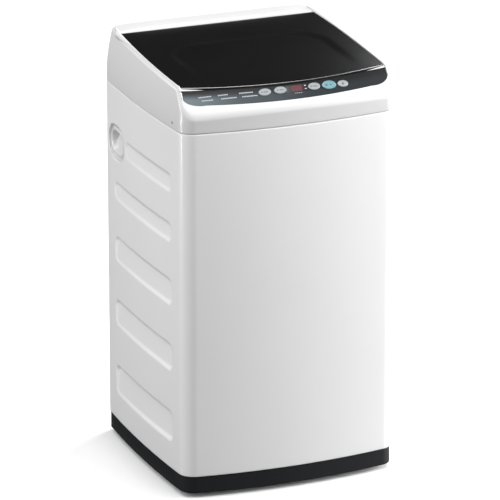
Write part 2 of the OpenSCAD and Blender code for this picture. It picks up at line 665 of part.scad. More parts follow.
// Grooved wheel: rim between z0 and z1 with a groove the belt runs in
module grooved_wheel(pitch, hub_r, hub_h, bore) rotate_extrude() polygon([
    [bore, pulley_z[0]], [pitch + 2, pulley_z[0]], [pitch + 2, pulley_z[0] + 2.5], [pitch - 2.6, pulley_z[0] + 4],
    [pitch - 2.6, pulley_z[1] - 4], [pitch + 2, pulley_z[1] - 2.5], [pitch + 2, pulley_z[1]],
    [hub_r, pulley_z[1]], [hub_r, pulley_z[0] + hub_h], [bore, pulley_z[0] + hub_h]]);
module clutch_pulley() color("silver") difference() {
    grooved_wheel(belt_pitch[0], 24, 24, nose_r + 0.05);
    for (i = [0:5]) rotate(60 * i) translate([46, 0, 0]) cylinder(r = 14, h = 200);
}
module motor_pulley() color("silver") translate([motor_offset, 0, 0]) {
    grooved_wheel(belt_pitch[1], 12, 16, 0);
    translate([0, 0, pulley_z[0] + 10]) cylinder(r = 6, h = 42);
}
module drive_belt() color("black") translate([0, 0, pulley_z[0] + 4.6]) linear_extrude(4.8) difference() {
    hull() {
        circle(r = belt_pitch[0] + 2);
        translate([motor_offset, 0]) circle(r = belt_pitch[1] + 2);
    }
    hull() {
        circle(r = belt_pitch[0] - 2);
        translate([motor_offset, 0]) circle(r = belt_pitch[1] - 2);
    }
}
module motor() color("gray") translate([motor_offset, 0, 0]) difference() {
    union() {
        translate([0, 0, 122]) cylinder(r = motor_r, h = 56);
        translate([0, 0, 178]) cylinder(r = 40, h = 8);
        for (a = [45:90:315]) rotate(a) translate([48, 0, 178]) cylinder(r = 6, h = plate_z - 0.3 - 178);
        translate([0, 0, 117]) cylinder(r = 20, h = 6);
    }
    translate([0, 0, 100]) cylinder(r = 6.05, h = 60);
}
module drain_valve() color("ivory") {
    translate([valve_at[0], valve_at[1], 150]) cylinder(r = 26, h = tub_floor_z - 150.3);
    translate([valve_at[0], valve_at[1], tub_floor_z - 1]) difference() {
        cylinder(r = drain_bore_r - 0.2, h = 8);
        translate([0, 0, 1]) cylinder(r = drain_bore_r - 3, h = 20);
    }
    translate([valve_at[0], valve_at[1] + 24, 172]) rotate([-90, 0, 0]) cylinder(r = 12, h = 20);
}
actuator_at = [-20, 150, 168];
module drain_actuator() color("ivory") translate(actuator_at) {
    cube([60, 36, 31.7]);
    translate([-31.7, 14, 8]) cube([32, 8, 6]);
}

// ---------------------------------------------------------------- basket and pulsator
basket_wall = 1.5;
basket_z = [236, 712];
base_r = basket_r - basket_wall - 0.2;
module basket() color("silver") tube(basket_r, basket_r - basket_wall, basket_z[0], basket_z[1]);
neck_r = 156;
module balance_ring() color("whitesmoke") rotate_extrude($fn = 96) polygon([
    [neck_r, basket_z[1] + 4], [neck_r + 5, basket_z[1] - 6], [basket_r - basket_wall - 0.2, basket_z[1] - 6],
    [basket_r - basket_wall - 0.2, basket_z[1] + 0.3], [basket_r + 4, basket_z[1] + 0.3], [basket_r + 4, basket_z[1] + 36],
    [basket_r - 4, basket_z[1] + 44], [neck_r + 8, basket_z[1] + 44], [neck_r, basket_z[1] + 34]]);
module basket_base() color("whitesmoke") difference() {
    rotate_extrude($fn = 96) polygon([
        [wash_shaft_r + 0.05, 160], [shaft_r, 160], [shaft_r, 232], [34, 232], [34, 238], [base_r, 238],
        [base_r, 262], [base_r - 12, 256], [base_r - 16, 248], [30, 248], [30, 254], [wash_shaft_r + 0.05, 254]]);
    for (i = [0:11]) rotate(30 * i) translate([120, -4, 200]) cube([40, 8, 100]);
}
filter_z = [380, 580];
module lint_filters() color("lightgray") for (a = [0:120:240]) rotate(a + 90) intersection() {
    tube(basket_r - basket_wall - 0.2, basket_r - basket_wall - 10, filter_z[0], filter_z[1]);
    translate([basket_r - 40, -24, 0]) cube([60, 48, 1000]);
}
pulsator_r = 158;
module pulsator() color("lightsteelblue") {
    rotate_extrude($fn = 96) polygon([
        [0, 168], [wash_shaft_r, 168], [wash_shaft_r, 258], [pulsator_r - 30, 258], [pulsator_r - 4, 264], [pulsator_r, 268],
        [pulsator_r, 272], [pulsator_r - 30, 266], [60, 268], [34, 286], [0, 286]]);
    for (i = [0:3]) rotate(90 * i) translate([0, -7, 262]) linear_extrude(20) polygon([[28, 0], [140, 0], [148, 7], [140, 14], [28, 14]]);
}
module pulsator_cap() color("white") translate([0, 0, 286.2]) cylinder(r = 22, h = 5);

cabinet();
rear_panel();
rear_panel_screws();
base_frame();
bottom_guard();
rear_feet();
foot_front_left();
foot_front_right();
side_handle_left();
side_handle_right();
side_plugs();
top_cover();
rear_deck();
control_panel();
display_window();
indicator_lights();
control_board();
button_program();
button_water_level();
button_delay();
button_start();
button_power();
lid();
lid_trim();
lid_hinge_pins();
lid_magnet();
lid_switch();
dispenser_housing();
detergent_drawer();
inlet_valve();
fill_pipe();
water_level_sensor();
pressure_hose();
cord_gland();
motor_capacitor();
drain_outlet();
drain_hose();
corner_brackets();
suspension_rods();
spring_seats();
suspension_springs();
spring_caps();
outer_tub();
tub_ring();
tub_seal();
mounting_bracket();
gear_case();
motor();
drive_belt();
drain_valve();
drain_actuator();
basket();
balance_ring();
basket_base();
lint_filters();
pulsator();
pulsator_cap();
clutch_pulley();
motor_pulley();
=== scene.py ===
"""Looks of a compact top load washing machine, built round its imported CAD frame.

Lengths are in millimetres until build() turns them into metres.
The frame is the CAD's: +Z up, +Y to the rear.
"""

import json
import math

import bmesh
import bpy
import numpy as np
from mathutils import Matrix, Vector

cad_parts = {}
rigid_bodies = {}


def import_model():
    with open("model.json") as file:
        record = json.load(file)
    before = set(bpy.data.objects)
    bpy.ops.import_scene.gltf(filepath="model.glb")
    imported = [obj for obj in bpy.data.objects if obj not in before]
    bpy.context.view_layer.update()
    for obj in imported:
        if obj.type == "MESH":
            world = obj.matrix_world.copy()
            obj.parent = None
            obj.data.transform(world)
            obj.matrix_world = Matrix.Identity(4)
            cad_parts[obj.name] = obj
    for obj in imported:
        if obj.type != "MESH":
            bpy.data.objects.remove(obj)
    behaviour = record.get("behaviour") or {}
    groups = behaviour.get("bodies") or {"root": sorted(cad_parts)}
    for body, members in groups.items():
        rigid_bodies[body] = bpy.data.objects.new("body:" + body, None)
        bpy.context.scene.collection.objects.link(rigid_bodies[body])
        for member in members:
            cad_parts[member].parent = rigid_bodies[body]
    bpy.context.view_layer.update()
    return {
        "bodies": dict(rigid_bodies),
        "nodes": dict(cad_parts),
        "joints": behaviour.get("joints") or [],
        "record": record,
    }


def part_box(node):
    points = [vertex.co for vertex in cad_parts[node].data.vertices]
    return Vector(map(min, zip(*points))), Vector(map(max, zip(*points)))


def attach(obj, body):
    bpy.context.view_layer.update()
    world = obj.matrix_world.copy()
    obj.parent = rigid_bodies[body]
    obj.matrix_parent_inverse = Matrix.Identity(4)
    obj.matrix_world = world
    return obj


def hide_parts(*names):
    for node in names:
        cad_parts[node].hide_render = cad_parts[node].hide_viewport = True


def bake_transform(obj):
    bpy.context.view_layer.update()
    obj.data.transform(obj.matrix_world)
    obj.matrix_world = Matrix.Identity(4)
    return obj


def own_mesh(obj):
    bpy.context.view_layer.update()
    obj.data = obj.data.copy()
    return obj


MM = 0.001
TAU = 2 * math.pi

# ------------------------------------------------------------------ sizes shared with the CAD
BODY_W = 510.0
BODY_D = 490.0
FRONT_BOW = 25.0
SIDE_BOW = 10.0
FRONT_CORNER = 36.0
REAR_CORNER = 25.0
SKIRT_Z = 11.0
BORDER_Z = 50.0
SEAM_Z = 821.0
LID_W = 470.0
LID_LEN = 400.0
LID_T = 5.0
LID_TILT = math.radians(3.5)
LID_FRONT = np.array([0.0, -212.0, 909.0])
LID_BOW = 38.0
RIM_GAP = 3.0
RECESS_D = 16.0
MOUTH_R = 172.0
PANEL_ANGLE = math.radians(50)
PANEL_MID = np.array([0.0, -BODY_D / 2 + 24, LID_FRONT[2] - 19])
PANEL_HALF = 236.0
PANEL_BOW = 20.0
CONTROL_RISE = 4.5
HALF_W = BODY_W / 2
HALF_D = BODY_D / 2


# ------------------------------------------------------------------ plan outline
def polar(centre, radius, start, end, count):
    """Points on an arc, angles in radians, both ends included."""
    angle = np.linspace(start, end, count + 1)
    return np.column_stack([centre[0] + radius * np.cos(angle), centre[1] + radius * np.sin(angle)])


def heading(start, end):
    return math.atan2(end[1] - start[1], end[0] - start[0])


def circles_meet(c1, r1, c2, r2):
    """Where two circles meet, on the left of the line from c1 to c2."""
    gap = c2 - c1
    distance = np.linalg.norm(gap)
    unit = gap / distance
    along = (r1 * r1 - r2 * r2 + distance * distance) / (2 * distance)
    across = math.sqrt(r1 * r1 - along * along)
    return c1 + along * unit + across * np.array([-unit[1], unit[0]])


def crown_radius(half_chord, bow):
    return (half_chord * half_chord + bow * bow) / (2 * bow)


FRONT_R = crown_radius(HALF_W, FRONT_BOW)
SIDE_R = crown_radius(HALF_D, SIDE_BOW)
FRONT_C = np.array([0.0, FRONT_R - HALF_D])
SIDE_C = np.array([HALF_W - SIDE_R, 0.0])
FRONT_FILLET_C = circles_meet(FRONT_C, FRONT_R - FRONT_CORNER, SIDE_C, SIDE_R - FRONT_CORNER)
REAR_FILLET_Y = HALF_D - REAR_CORNER
REAR_FILLET_X = math.sqrt((SIDE_R - REAR_CORNER) ** 2 - REAR_FILLET_Y**2) + SIDE_C[0]
REAR_FILLET_C = np.array([REAR_FILLET_X, REAR_FILLET_Y])
FRONT_ANGLE = heading(FRONT_C, FRONT_FILLET_C)
SIDE_ANGLES = (heading(SIDE_C, FRONT_FILLET_C), heading(SIDE_C, REAR_FILLET_C))
FINE = (60, 18, 132, 14, 70)
PLAIN = (40, 14, 40, 10, 40)


def half_outline(inset, counts, rear_x=0.0):
    """Right half of the plan, inset, from the middle of the front round to x = rear_x on the rear."""
    quarter = math.pi / 2
    runs = [
        polar(FRONT_C, FRONT_R - inset, -quarter, FRONT_ANGLE, counts[0]),
        polar(FRONT_FILLET_C, FRONT_CORNER - inset, FRONT_ANGLE, SIDE_ANGLES[0], counts[1]),
        polar(SIDE_C, SIDE_R - inset, SIDE_ANGLES[0], SIDE_ANGLES[1], counts[2]),
        polar(REAR_FILLET_C, REAR_CORNER - inset, SIDE_ANGLES[1], quarter, counts[3]),
    ]
    rear_xs = np.linspace(REAR_FILLET_X, rear_x, counts[4] + 1)
    runs.append(np.column_stack([rear_xs, np.full(len(rear_xs), HALF_D - inset)]))
    return np.vstack([runs[0]] + [run[1:] for run in runs[1:]])


def mirrored(half):
    """Closed loop from its right half, which starts and ends on the middle."""
    left = half[-2:0:-1] * np.array([-1.0, 1.0])
    return np.vstack([half, left])


def outline(inset=0.0, counts=PLAIN):
    return mirrored(half_outline(inset, counts))


# ------------------------------------------------------------------ the lid's plane and the panel's slope
def lid_plane(y):
    return LID_FRONT[2] + (y - LID_FRONT[1]) * math.tan(LID_TILT)


def on_lid(points):
    """Points in the lid's own frame moved to the row frame."""
    points = np.asarray(points, float)
    cos, sin = math.cos(LID_TILT), math.sin(LID_TILT)
    y = points[:, 1] * cos - points[:, 2] * sin
    z = points[:, 1] * sin + points[:, 2] * cos
    return np.column_stack([points[:, 0], y, z]) + LID_FRONT


LID_HALF = LID_W / 2
LID_FRONT_R = crown_radius(LID_HALF, LID_BOW)


def lid_front_y(x):
    """Front edge of the lid in its own frame."""
    return LID_FRONT_R - np.sqrt(LID_FRONT_R**2 - np.asarray(x, float) ** 2)


def panel_sag(x):
    return -PANEL_BOW * (np.asarray(x, float) / PANEL_HALF) ** 2


def panel_height(x, y):
    """Height of the sloped panel above the plan point."""
    rise = panel_sag(x) + math.sin(PANEL_ANGLE) * (y - PANEL_MID[1])
    return PANEL_MID[2] + rise / math.cos(PANEL_ANGLE)


def on_slope(points):
    """Points in the panel's frame (across, up the slope, out) moved to the row frame, following its bow."""
    points = np.asarray(points, float)
    cos, sin = math.cos(PANEL_ANGLE), math.sin(PANEL_ANGLE)
    out = points[:, 2] + panel_sag(points[:, 0])
    y = points[:, 1] * cos - out * sin
    z = points[:, 1] * sin + out * cos
    return np.column_stack([points[:, 0], y, z]) + PANEL_MID


def panel_yaw(x):
    return math.atan(2 * PANEL_BOW * x / PANEL_HALF**2)


def on_button(points, x):
    """Points in a button's frame, z along its travel, moved to the row frame."""
    points = np.asarray(points, float)
    turn = Matrix.Rotation(PANEL_ANGLE, 3, "X") @ Matrix.Rotation(panel_yaw(x), 3, "Y")
    return points @ np.array(turn).T + on_slope([[x, CONTROL_RISE, 0]])[0]


# ------------------------------------------------------------------ mesh building
def smoothstep(value, low, high):
    t = np.clip((np.asarray(value, float) - low) / (high - low), 0, 1)
    return t * t * (3 - 2 * t)


def build(name, points, faces, material):
    """A mesh object from points in millimetres."""
    mesh = bpy.data.meshes.new(name)
    mesh.from_pydata((np.asarray(points) * MM).tolist(), [], [list(f) for f in faces])
    mesh.validate()
    mesh.materials.append(material)
    mesh.shade_smooth()
    piece = bpy.data.objects.new(name, mesh)
    bpy.context.scene.collection.objects.link(piece)
    return piece


def grid_faces(rows, columns, closed):
    """Quads between rows of points; closed joins each row's last point to its first."""
    faces = []
    for r in range(rows - 1):
        for c in range(columns if closed else columns - 1):
            d = (c + 1) % columns
            faces.append((r * columns + c, r * columns + d, (r + 1) * columns + d, (r + 1) * columns + c))
    return faces


def loft(name, rings, material, closed=True, caps=(False, False)):
    """Skin over rings that have the same number of points."""
    columns = len(rings[0])
    points = np.vstack(rings)
    faces = grid_faces(len(rings), columns, closed)
    if caps[0]:
        faces.append(tuple(range(columns - 1, -1, -1)))
    if caps[1]:
        last = (len(rings) - 1) * columns
        faces.append(tuple(range(last, last + columns)))
    return build(name, points, faces, material)


def level(loop, z):
    """A plan loop raised to z, which may be one number or one for each point."""
    return np.column_stack([loop, np.broadcast_to(z, len(loop))])


def circle(radius, z, count=96, centre=(0.0, 0.0)):
    angle = np.linspace(0, TAU, count, endpoint=False)
    return np.column_stack(
        [centre[0] + radius * np.cos(angle), centre[1] + radius * np.sin(angle), np.full(count, float(z))]
    )


def revolve(name, profile, material, centre=(0.0, 0.0), count=96):
    """A turned piece: profile is a closed list of (radius, z)."""
    rings = [circle(r, z, count, centre) for r, z in profile]
    return loft(name, rings + [rings[0]], material)


def rounded(profile, radius, steps=5):
    """A closed (r, z) profile with its corners rounded."""
    points = [np.array(p, float) for p in profile]
    result = []
    for i, corner in enumerate(points):
        before = points[i - 1] - corner
        after = points[(i + 1) % len(points)] - corner
        reach = min(radius, 0.45 * np.linalg.norm(before), 0.45 * np.linalg.norm(after))
        start = corner + before / np.linalg.norm(before) * reach
        end = corner + after / np.linalg.norm(after) * reach
        for k in range(steps + 1):
            t = k / steps
            result.append((1 - t) ** 2 * start + 2 * t * (1 - t) * corner + t * t * end)
    return [tuple(p) for p in result]


def tube(name, path, radius, material, sides):
    """A round bar swept along a path of points; radius may vary along it."""
    path = np.asarray(path, float)
    count = len(path)
    radii = np.broadcast_to(radius, count)
    tangents = np.gradient(path, axis=0)
    tangents /= np.linalg.norm(tangents, axis=1)[:, None]
    normal = np.cross(tangents[0], [0.0, 0.0, 1.0])
    if np.linalg.norm(normal) < 0.1:
        normal = np.cross(tangents[0], [1.0, 0.0, 0.0])
    rings = []
    for point, tangent, r in zip(path, tangents, radii):
        normal = normal - tangent * np.dot(normal, tangent)
        normal /= np.linalg.norm(normal)
        side = np.cross(tangent, normal)
        angle = np.linspace(0, TAU, sides, endpoint=False)[:, None]
        rings.append(point + r * (np.cos(angle) * normal + np.sin(angle) * side))
    return loft(name, rings, material, caps=(True, True))


def rounded_loop(low, high, radius, count):
    """Closed outline of a rounded rectangle between two corners."""
    arcs = []
    for quarter, (right, up) in enumerate([(True, True), (False, True), (False, False), (True, False)]):
        u = high[0] - radius if right else low[0] + radius
        v = high[1] - radius if up else low[1] + radius
        arcs.append(polar((u, v), radius, quarter * math.pi / 2, (quarter + 1) * math.pi / 2, count))
    return np.vstack(arcs)


def rounded_box_distance(u, v, low, high, radius):
    """Signed distance to a rounded rectangle between two corners, negative inside."""
    middle = [(low[i] + high[i]) / 2 for i in (0, 1)]
    half = [(high[i] - low[i]) / 2 - radius for i in (0, 1)]
    du = np.abs(np.asarray(u, float) - middle[0]) - half[0]
    dv = np.abs(np.asarray(v, float) - middle[1]) - half[1]
    outside = np.hypot(np.maximum(du, 0), np.maximum(dv, 0))
    return outside + np.minimum(np.maximum(du, dv), 0) - radius


def punch(points, faces, axes, distance, pitch, where):
    """Opens a hole in a grid: snaps nearby points to its edge and drops the faces inside it.

    A face that the snapping turns over or squeezes to nothing is dropped as well.
    """
    u, v = points[:, axes[0]], points[:, axes[1]]
    reach = distance(u, v)
    step = 0.01
    slope_u = (distance(u + step, v) - distance(u - step, v)) / (2 * step)
    slope_v = (distance(u, v + step) - distance(u, v - step)) / (2 * step)
    near = where & (np.abs(reach) < 0.6 * pitch)
    inside = where & (reach <= -0.6 * pitch)
    moved = points.copy()
    moved[near, axes[0]] -= (reach * slope_u)[near]
    moved[near, axes[1]] -= (reach * slope_v)[near]

    def area(where_points, face):
        a, b = where_points[list(face)][:, axes].T
        return float(a @ np.roll(b, -1) - b @ np.roll(a, -1))

    def kept(face):
        if any(inside[i] for i in face):
            return False
        before = area(points, face) if any(near[i] for i in face) else None
        return before is None or area(moved, face) * before > 0.05 * before**2

    return moved, [face for face in faces if kept(face)]


def join(name, pieces):
    """One object from several, with their material slots kept."""
    with bpy.context.temp_override(
        active_object=pieces[0], selected_editable_objects=pieces, selected_objects=pieces
    ):
        bpy.ops.object.join()
    pieces[0].name = name
    return pieces[0]


def bevelled(piece, width, sharpest=30.0):
    """Rounds the edges that turn by more than sharpest degrees; width in millimetres."""
    bevel = piece.modifiers.new("bevel", "BEVEL")
    bevel.width = width * MM
    bevel.segments = 3
    bevel.limit_method = "ANGLE"
    bevel.angle_limit = math.radians(sharpest)
    return bevel


def thicken(piece, thickness, offset=-1.0):
    """Gives a sheet its thickness in millimetres; offset is 1 along its normals and -1 against them."""
    sheet = piece.modifiers.new("sheet", "SOLIDIFY")
    sheet.thickness = thickness * MM
    sheet.offset = offset


def inner_side(wall):
    """The offset that puts an upright wall's thickness on the side of the machine's middle."""
    face = wall.data.polygons[0]
    return 1.0 if face.normal.dot(face.center) < 0 else -1.0


# ------------------------------------------------------------------ materials
class Nodes:
    """Short names for building one material's node tree."""

    def __init__(self, name):
        self.material = bpy.data.materials.new(name)
        self.material.use_nodes = True
        self.tree = self.material.node_tree
        self.shader = self.tree.nodes["Principled BSDF"]

    def add(self, kind, **values):
        node = self.tree.nodes.new(kind)
        for key, value in values.items():
            setattr(node, key, value)
        return node

    def link(self, source, target):
        self.tree.links.new(source, target)

    def set(self, **values):
        for key, value in values.items():
            self.shader.inputs[key.replace("_", " ")].default_value = value

    def coords(self):
        return self.add("ShaderNodeTexCoord").outputs["Object"]

    def noise(self, scale, detail=3.0, stretch=(1, 1, 1)):
        """Noise in object space, scale in cycles per metre."""
        mapping = self.add("ShaderNodeMapping")
        mapping.inputs["Scale"].default_value = stretch
        self.link(self.coords(), mapping.inputs["Vector"])
        node = self.add("ShaderNodeTexNoise")
        node.inputs["Scale"].default_value = scale
        node.inputs["Detail"].default_value = detail
        self.link(mapping.outputs["Vector"], node.inputs["Vector"])
        return node.outputs["Fac"]

    def ramp(self, source, stops):
        """Colour ramp: stops are (position, colour)."""
        node = self.add("ShaderNodeValToRGB")
        elements = node.color_ramp.elements
        while len(elements) < len(stops):
            elements.new(0.5)
        for element, (position, colour) in zip(elements, stops):
            element.position = position
            element.color = (*colour, 1.0)
        self.link(source, node.inputs["Fac"])
        return node.outputs["Color"]

    def spread(self, source, low, high):
        """Maps 0..1 to low..high."""
        node = self.add("ShaderNodeMapRange")
        node.inputs["To Min"].default_value = low
        node.inputs["To Max"].default_value = high
        self.link(source, node.inputs["Value"])
        return node.outputs["Result"]

    def bump(self, source, strength, distance):
        node = self.add("ShaderNodeBump")
        node.inputs["Strength"].default_value = strength
        node.inputs["Distance"].default_value = distance
        self.link(source, node.inputs["Height"])
        self.link(node.outputs["Normal"], self.shader.inputs["Normal"])


def shade(colour, factor):
    return tuple(min(1.0, c * factor) for c in colour)


def finish_material(name, colour, roughness, grain, bump, metallic=0.0, vary=0.03, stretch=(1, 1, 1), **more):
    """Procedural finish: slight colour drift, roughness drift and fine bump."""
    m = Nodes(name)
    broad = m.noise(6.0, 2.0)
    fine = m.noise(grain, 4.0, stretch)
    tone_ramp = m.ramp(broad, [(0.3, shade(colour, 1 - vary)), (0.7, shade(colour, 1 + vary))])
    m.link(tone_ramp, m.shader.inputs["Base Color"])
    m.link(m.spread(fine, max(0.02, roughness - 0.05), roughness + 0.05), m.shader.inputs["Roughness"])
    m.set(Metallic=metallic)
    m.bump(fine, bump, 0.0004)
    m.set(**more)
    return m.material


BODY_COAT = {"vary": 0.008, "Coat_Weight": 0.35, "Coat_Roughness": 0.12}
COVER_COAT = {"vary": 0.008, "Coat_Weight": 0.3, "Coat_Roughness": 0.12}
METAL = {"metallic": 1.0}
# Name: colour, roughness, cycles of the fine noise per metre, bump, and what isn't as usual
FINISHES = {
    "body_white": ((0.775, 0.775, 0.775), 0.32, 900, 0.010, BODY_COAT),
    # cover_white is darker than body_white, partly as moulded plastic against painted sheet and partly as
    # painted shade that holds back the extra light on the cover's upward-facing top.
    "cover_white": ((0.63, 0.63, 0.63), 0.30, 1500, 0.010, COVER_COAT),
    "drawer_white": ((0.76, 0.78, 0.80), 0.38, 1800, 0.03, {}),
    "zinc_steel": ((0.62, 0.63, 0.65), 0.30, 600, 0.03, METAL),
    "spring_steel": ((0.34, 0.35, 0.37), 0.34, 900, 0.04, METAL),
    "stainless": ((0.66, 0.67, 0.69), 0.22, 500, 0.03, METAL | {"stretch": (1, 1, 30)}),
    "base_charcoal": ((0.013, 0.0135, 0.015), 0.55, 2500, 0.05, {"vary": 0.08, "Specular_IOR_Level": 0.18}),
    "foot_rubber": ((0.014, 0.014, 0.015), 0.75, 2000, 0.08, {"vary": 0.1}),
    "plug_grey": ((0.26, 0.27, 0.28), 0.45, 2200, 0.04, {}),
    "display_red": ((0.012, 0.008, 0.010), 0.20, 900, 0.004, {"vary": 0.2}),
    "indicator_pale": ((0.62, 0.70, 0.72), 0.30, 900, 0.01, {}),
    "circuit_green": ((0.010, 0.10, 0.040), 0.35, 700, 0.05, {"vary": 0.12}),
    "button_silver": ((0.27, 0.29, 0.305), 0.34, 3000, 0.02, {"metallic": 0.1}),
    "button_blue": ((0.13, 0.27, 0.31), 0.34, 3000, 0.02, {"metallic": 0.1}),
    "trim_silver": ((0.58, 0.58, 0.59), 0.26, 400, 0.01, METAL | {"stretch": (1, 20, 20)}),
    "ivory_plastic": ((0.66, 0.64, 0.57), 0.42, 2000, 0.04, {}),
    "hose_rubber": ((0.018, 0.018, 0.019), 0.55, 1600, 0.06, {"vary": 0.1}),
    "aluminium_can": ((0.70, 0.71, 0.72), 0.26, 500, 0.03, METAL | {"stretch": (20, 20, 1)}),
    "seat_plastic": ((0.03, 0.03, 0.033), 0.45, 2200, 0.05, {"vary": 0.08}),
    "tub_plastic": ((0.68, 0.69, 0.69), 0.42, 1400, 0.04, {}),
    "basket_plastic": ((0.56, 0.59, 0.62), 0.38, 1400, 0.03, {}),
    "pulsator_plastic": ((0.38, 0.50, 0.62), 0.28, 1600, 0.02, {}),
    "cast_alloy": ((0.50, 0.51, 0.53), 0.48, 350, 0.25, METAL | {"vary": 0.08}),
    "motor_grey": ((0.10, 0.105, 0.11), 0.38, 900, 0.05, {"vary": 0.08}),
    "mark_dark": ((0.10, 0.11, 0.12), 0.40, 3000, 0.01, {}),
    "mark_light": ((0.42, 0.46, 0.48), 0.45, 3000, 0.01, {}),
}
# Name: colour and emission strength
GLOWS = {
    "digit_red": ((0.22, 0.015, 0.035), 0.25),
    "glow_red": ((0.035, 0.004, 0.008), 0.5),
    "lamp_green": ((0.02, 0.07, 0.03), 0.20),
}


def make_materials():
    """Every material by its name."""
    mats = {"galvanised_sheet": galvanised(), "panel_slate": slate(), "lid_black": lid_black()}
    for name, (colour, roughness, grain, bump, more) in FINISHES.items():
        mats[name] = finish_material(name, colour, roughness, grain, bump, **more)
    for name, (colour, strength) in GLOWS.items():
        mats[name] = glow(name, colour, strength)
    return mats


def galvanised():
    """Zinc coated sheet with its spangle."""
    m = Nodes("galvanised_sheet")
    cells = m.add("ShaderNodeTexVoronoi")
    cells.inputs["Scale"].default_value = 140.0
    m.link(m.coords(), cells.inputs["Vector"])
    gray = m.add("ShaderNodeSeparateColor")
    m.link(cells.outputs["Color"], gray.inputs["Color"])
    zinc = m.ramp(gray.outputs["Red"], [(0.0, (0.50, 0.52, 0.53)), (1.0, (0.66, 0.67, 0.68))])
    m.link(zinc, m.shader.inputs["Base Color"])
    m.link(m.spread(gray.outputs["Green"], 0.30, 0.50), m.shader.inputs["Roughness"])
    m.set(Metallic=0.9)
    m.bump(m.noise(500.0), 0.04, 0.0004)
    return m.material


def slate():
    """Fascia: slate grey with a fine fleck, a painted highlight that lightens it towards the left end and a
    painted shadow that turns it near black under the lid's edge.
    """
    m = Nodes("panel_slate")
    split = m.add("ShaderNodeSeparateXYZ")
    m.link(m.coords(), split.inputs["Vector"])
    across = m.add("ShaderNodeMapRange")
    across.inputs["From Min"].default_value = -PANEL_HALF * MM
    across.inputs["From Max"].default_value = PANEL_HALF * MM
    m.link(split.outputs["X"], across.inputs["Value"])
    # Painted highlight: the colour runs from a light blue-grey at the left end to near black at the right,
    # standing in for the light the left end catches.
    stops = [(0.0, (0.135, 0.170, 0.192)), (0.25, (0.046, 0.060, 0.070))]
    stops += [(0.6, (0.019, 0.024, 0.028)), (1.0, (0.009, 0.011, 0.013))]
    tone_ramp = m.ramp(across.outputs["Result"], stops)
    # Painted shadow: a band that darkens the fascia to near black just under the lid's front edge, where the
    # lid shades it.
    height = m.add("ShaderNodeVectorMath", operation="DOT_PRODUCT")
    height.inputs[1].default_value = (0.0, -math.tan(LID_TILT), 1.0)
    m.link(m.coords(), height.inputs[0])
    painted_lid_shadow = m.add("ShaderNodeMapRange", interpolation_type="SMOOTHSTEP")
    edge = LID_FRONT[2] - LEDGE - LID_FRONT[1] * math.tan(LID_TILT)
    painted_lid_shadow.inputs["From Min"].default_value = (edge - 17.0) * MM
    painted_lid_shadow.inputs["From Max"].default_value = (edge - 3.0) * MM
    m.link(height.outputs["Value"], painted_lid_shadow.inputs["Value"])
    tone = m.add("ShaderNodeMix", data_type="RGBA")
    m.link(painted_lid_shadow.outputs["Result"], tone.inputs[0])
    m.link(tone_ramp, tone.inputs[6])
    # Near-black colour of the painted shadow under the lid.
    tone.inputs[7].default_value = (0.004, 0.0045, 0.005, 1.0)
    m.link(tone.outputs[2], m.shader.inputs["Base Color"])
    fleck = m.noise(4000.0, 2.0)
    m.link(m.spread(fleck, 0.24, 0.38), m.shader.inputs["Roughness"])
    m.bump(fleck, 0.015, 0.0003)
    m.set(Specular_IOR_Level=0.22)
    return m.material


def lid_black():
    """Lid: near black, with a faint haze."""
    m = Nodes("lid_black")
    haze = m.ramp(m.noise(9.0, 3.0), [(0.3, (0.0030, 0.0030, 0.0031)), (0.7, (0.0040, 0.0040, 0.0041))])
    m.link(haze, m.shader.inputs["Base Color"])
    m.link(m.spread(m.noise(60.0), 0.27, 0.33), m.shader.inputs["Roughness"])
    m.bump(m.noise(25.0, 1.0), 0.01, 0.001)
    m.set(Specular_IOR_Level=0.12)
    return m.material


def glow(name, colour, strength):
    """A mark that gives off a little light of its own."""
    m = Nodes(name)
    tone_ramp = m.ramp(m.noise(600.0), [(0.3, shade(colour, 0.8)), (0.7, colour)])
    m.link(tone_ramp, m.shader.inputs["Base Color"])
    m.set(Emission_Color=(*colour, 1.0), Emission_Strength=strength, Roughness=0.4)
    return m.material


# ------------------------------------------------------------------ cabinet
# Lower edge, upper edge and relative depth of each pressed rib
RIBS = [(113, 179, 6.0), (275, 333, 5.5), (424, 480, 5.0), (566, 606, 4.0), (678, 717, 3.0)]
RIB_Y = (-164.0, 174.0)
RIB_R = 17.0
RIB_SLOPE = 7.0
RIB_DEPTH = 1.7
GRIP_LOW = (108.0, 658.0)
GRIP_HIGH = (212.0, 734.0)
GRIP_R = 37.0
REAR_OPENING = 205.0
SHELL_PITCH = 3.0


def rib_depth(y, z):
    """Depth of the pressed ribs: deepest at the upper front, running out towards the lower rear."""
    depth = np.zeros(np.broadcast(y, z).shape)
    for index, (low, high, deepest) in enumerate(RIBS):
        rear = GRIP_LOW[0] - 8 if index == len(RIBS) - 1 else RIB_Y[1]
        distance = rounded_box_distance(y, z, (RIB_Y[0], low - 1.5), (rear, high + 1.5), RIB_R)
        rise = np.clip((z - low) / (high - low), 0, 1)
        ahead = np.clip((rear - y) / (rear - RIB_Y[0]), 0, 1)
        inside = smoothstep(-distance, -0.5, RIB_SLOPE)
        depth += RIB_DEPTH * deepest * inside * (0.14 + 0.50 * rise + 0.36 * ahead)
    return depth


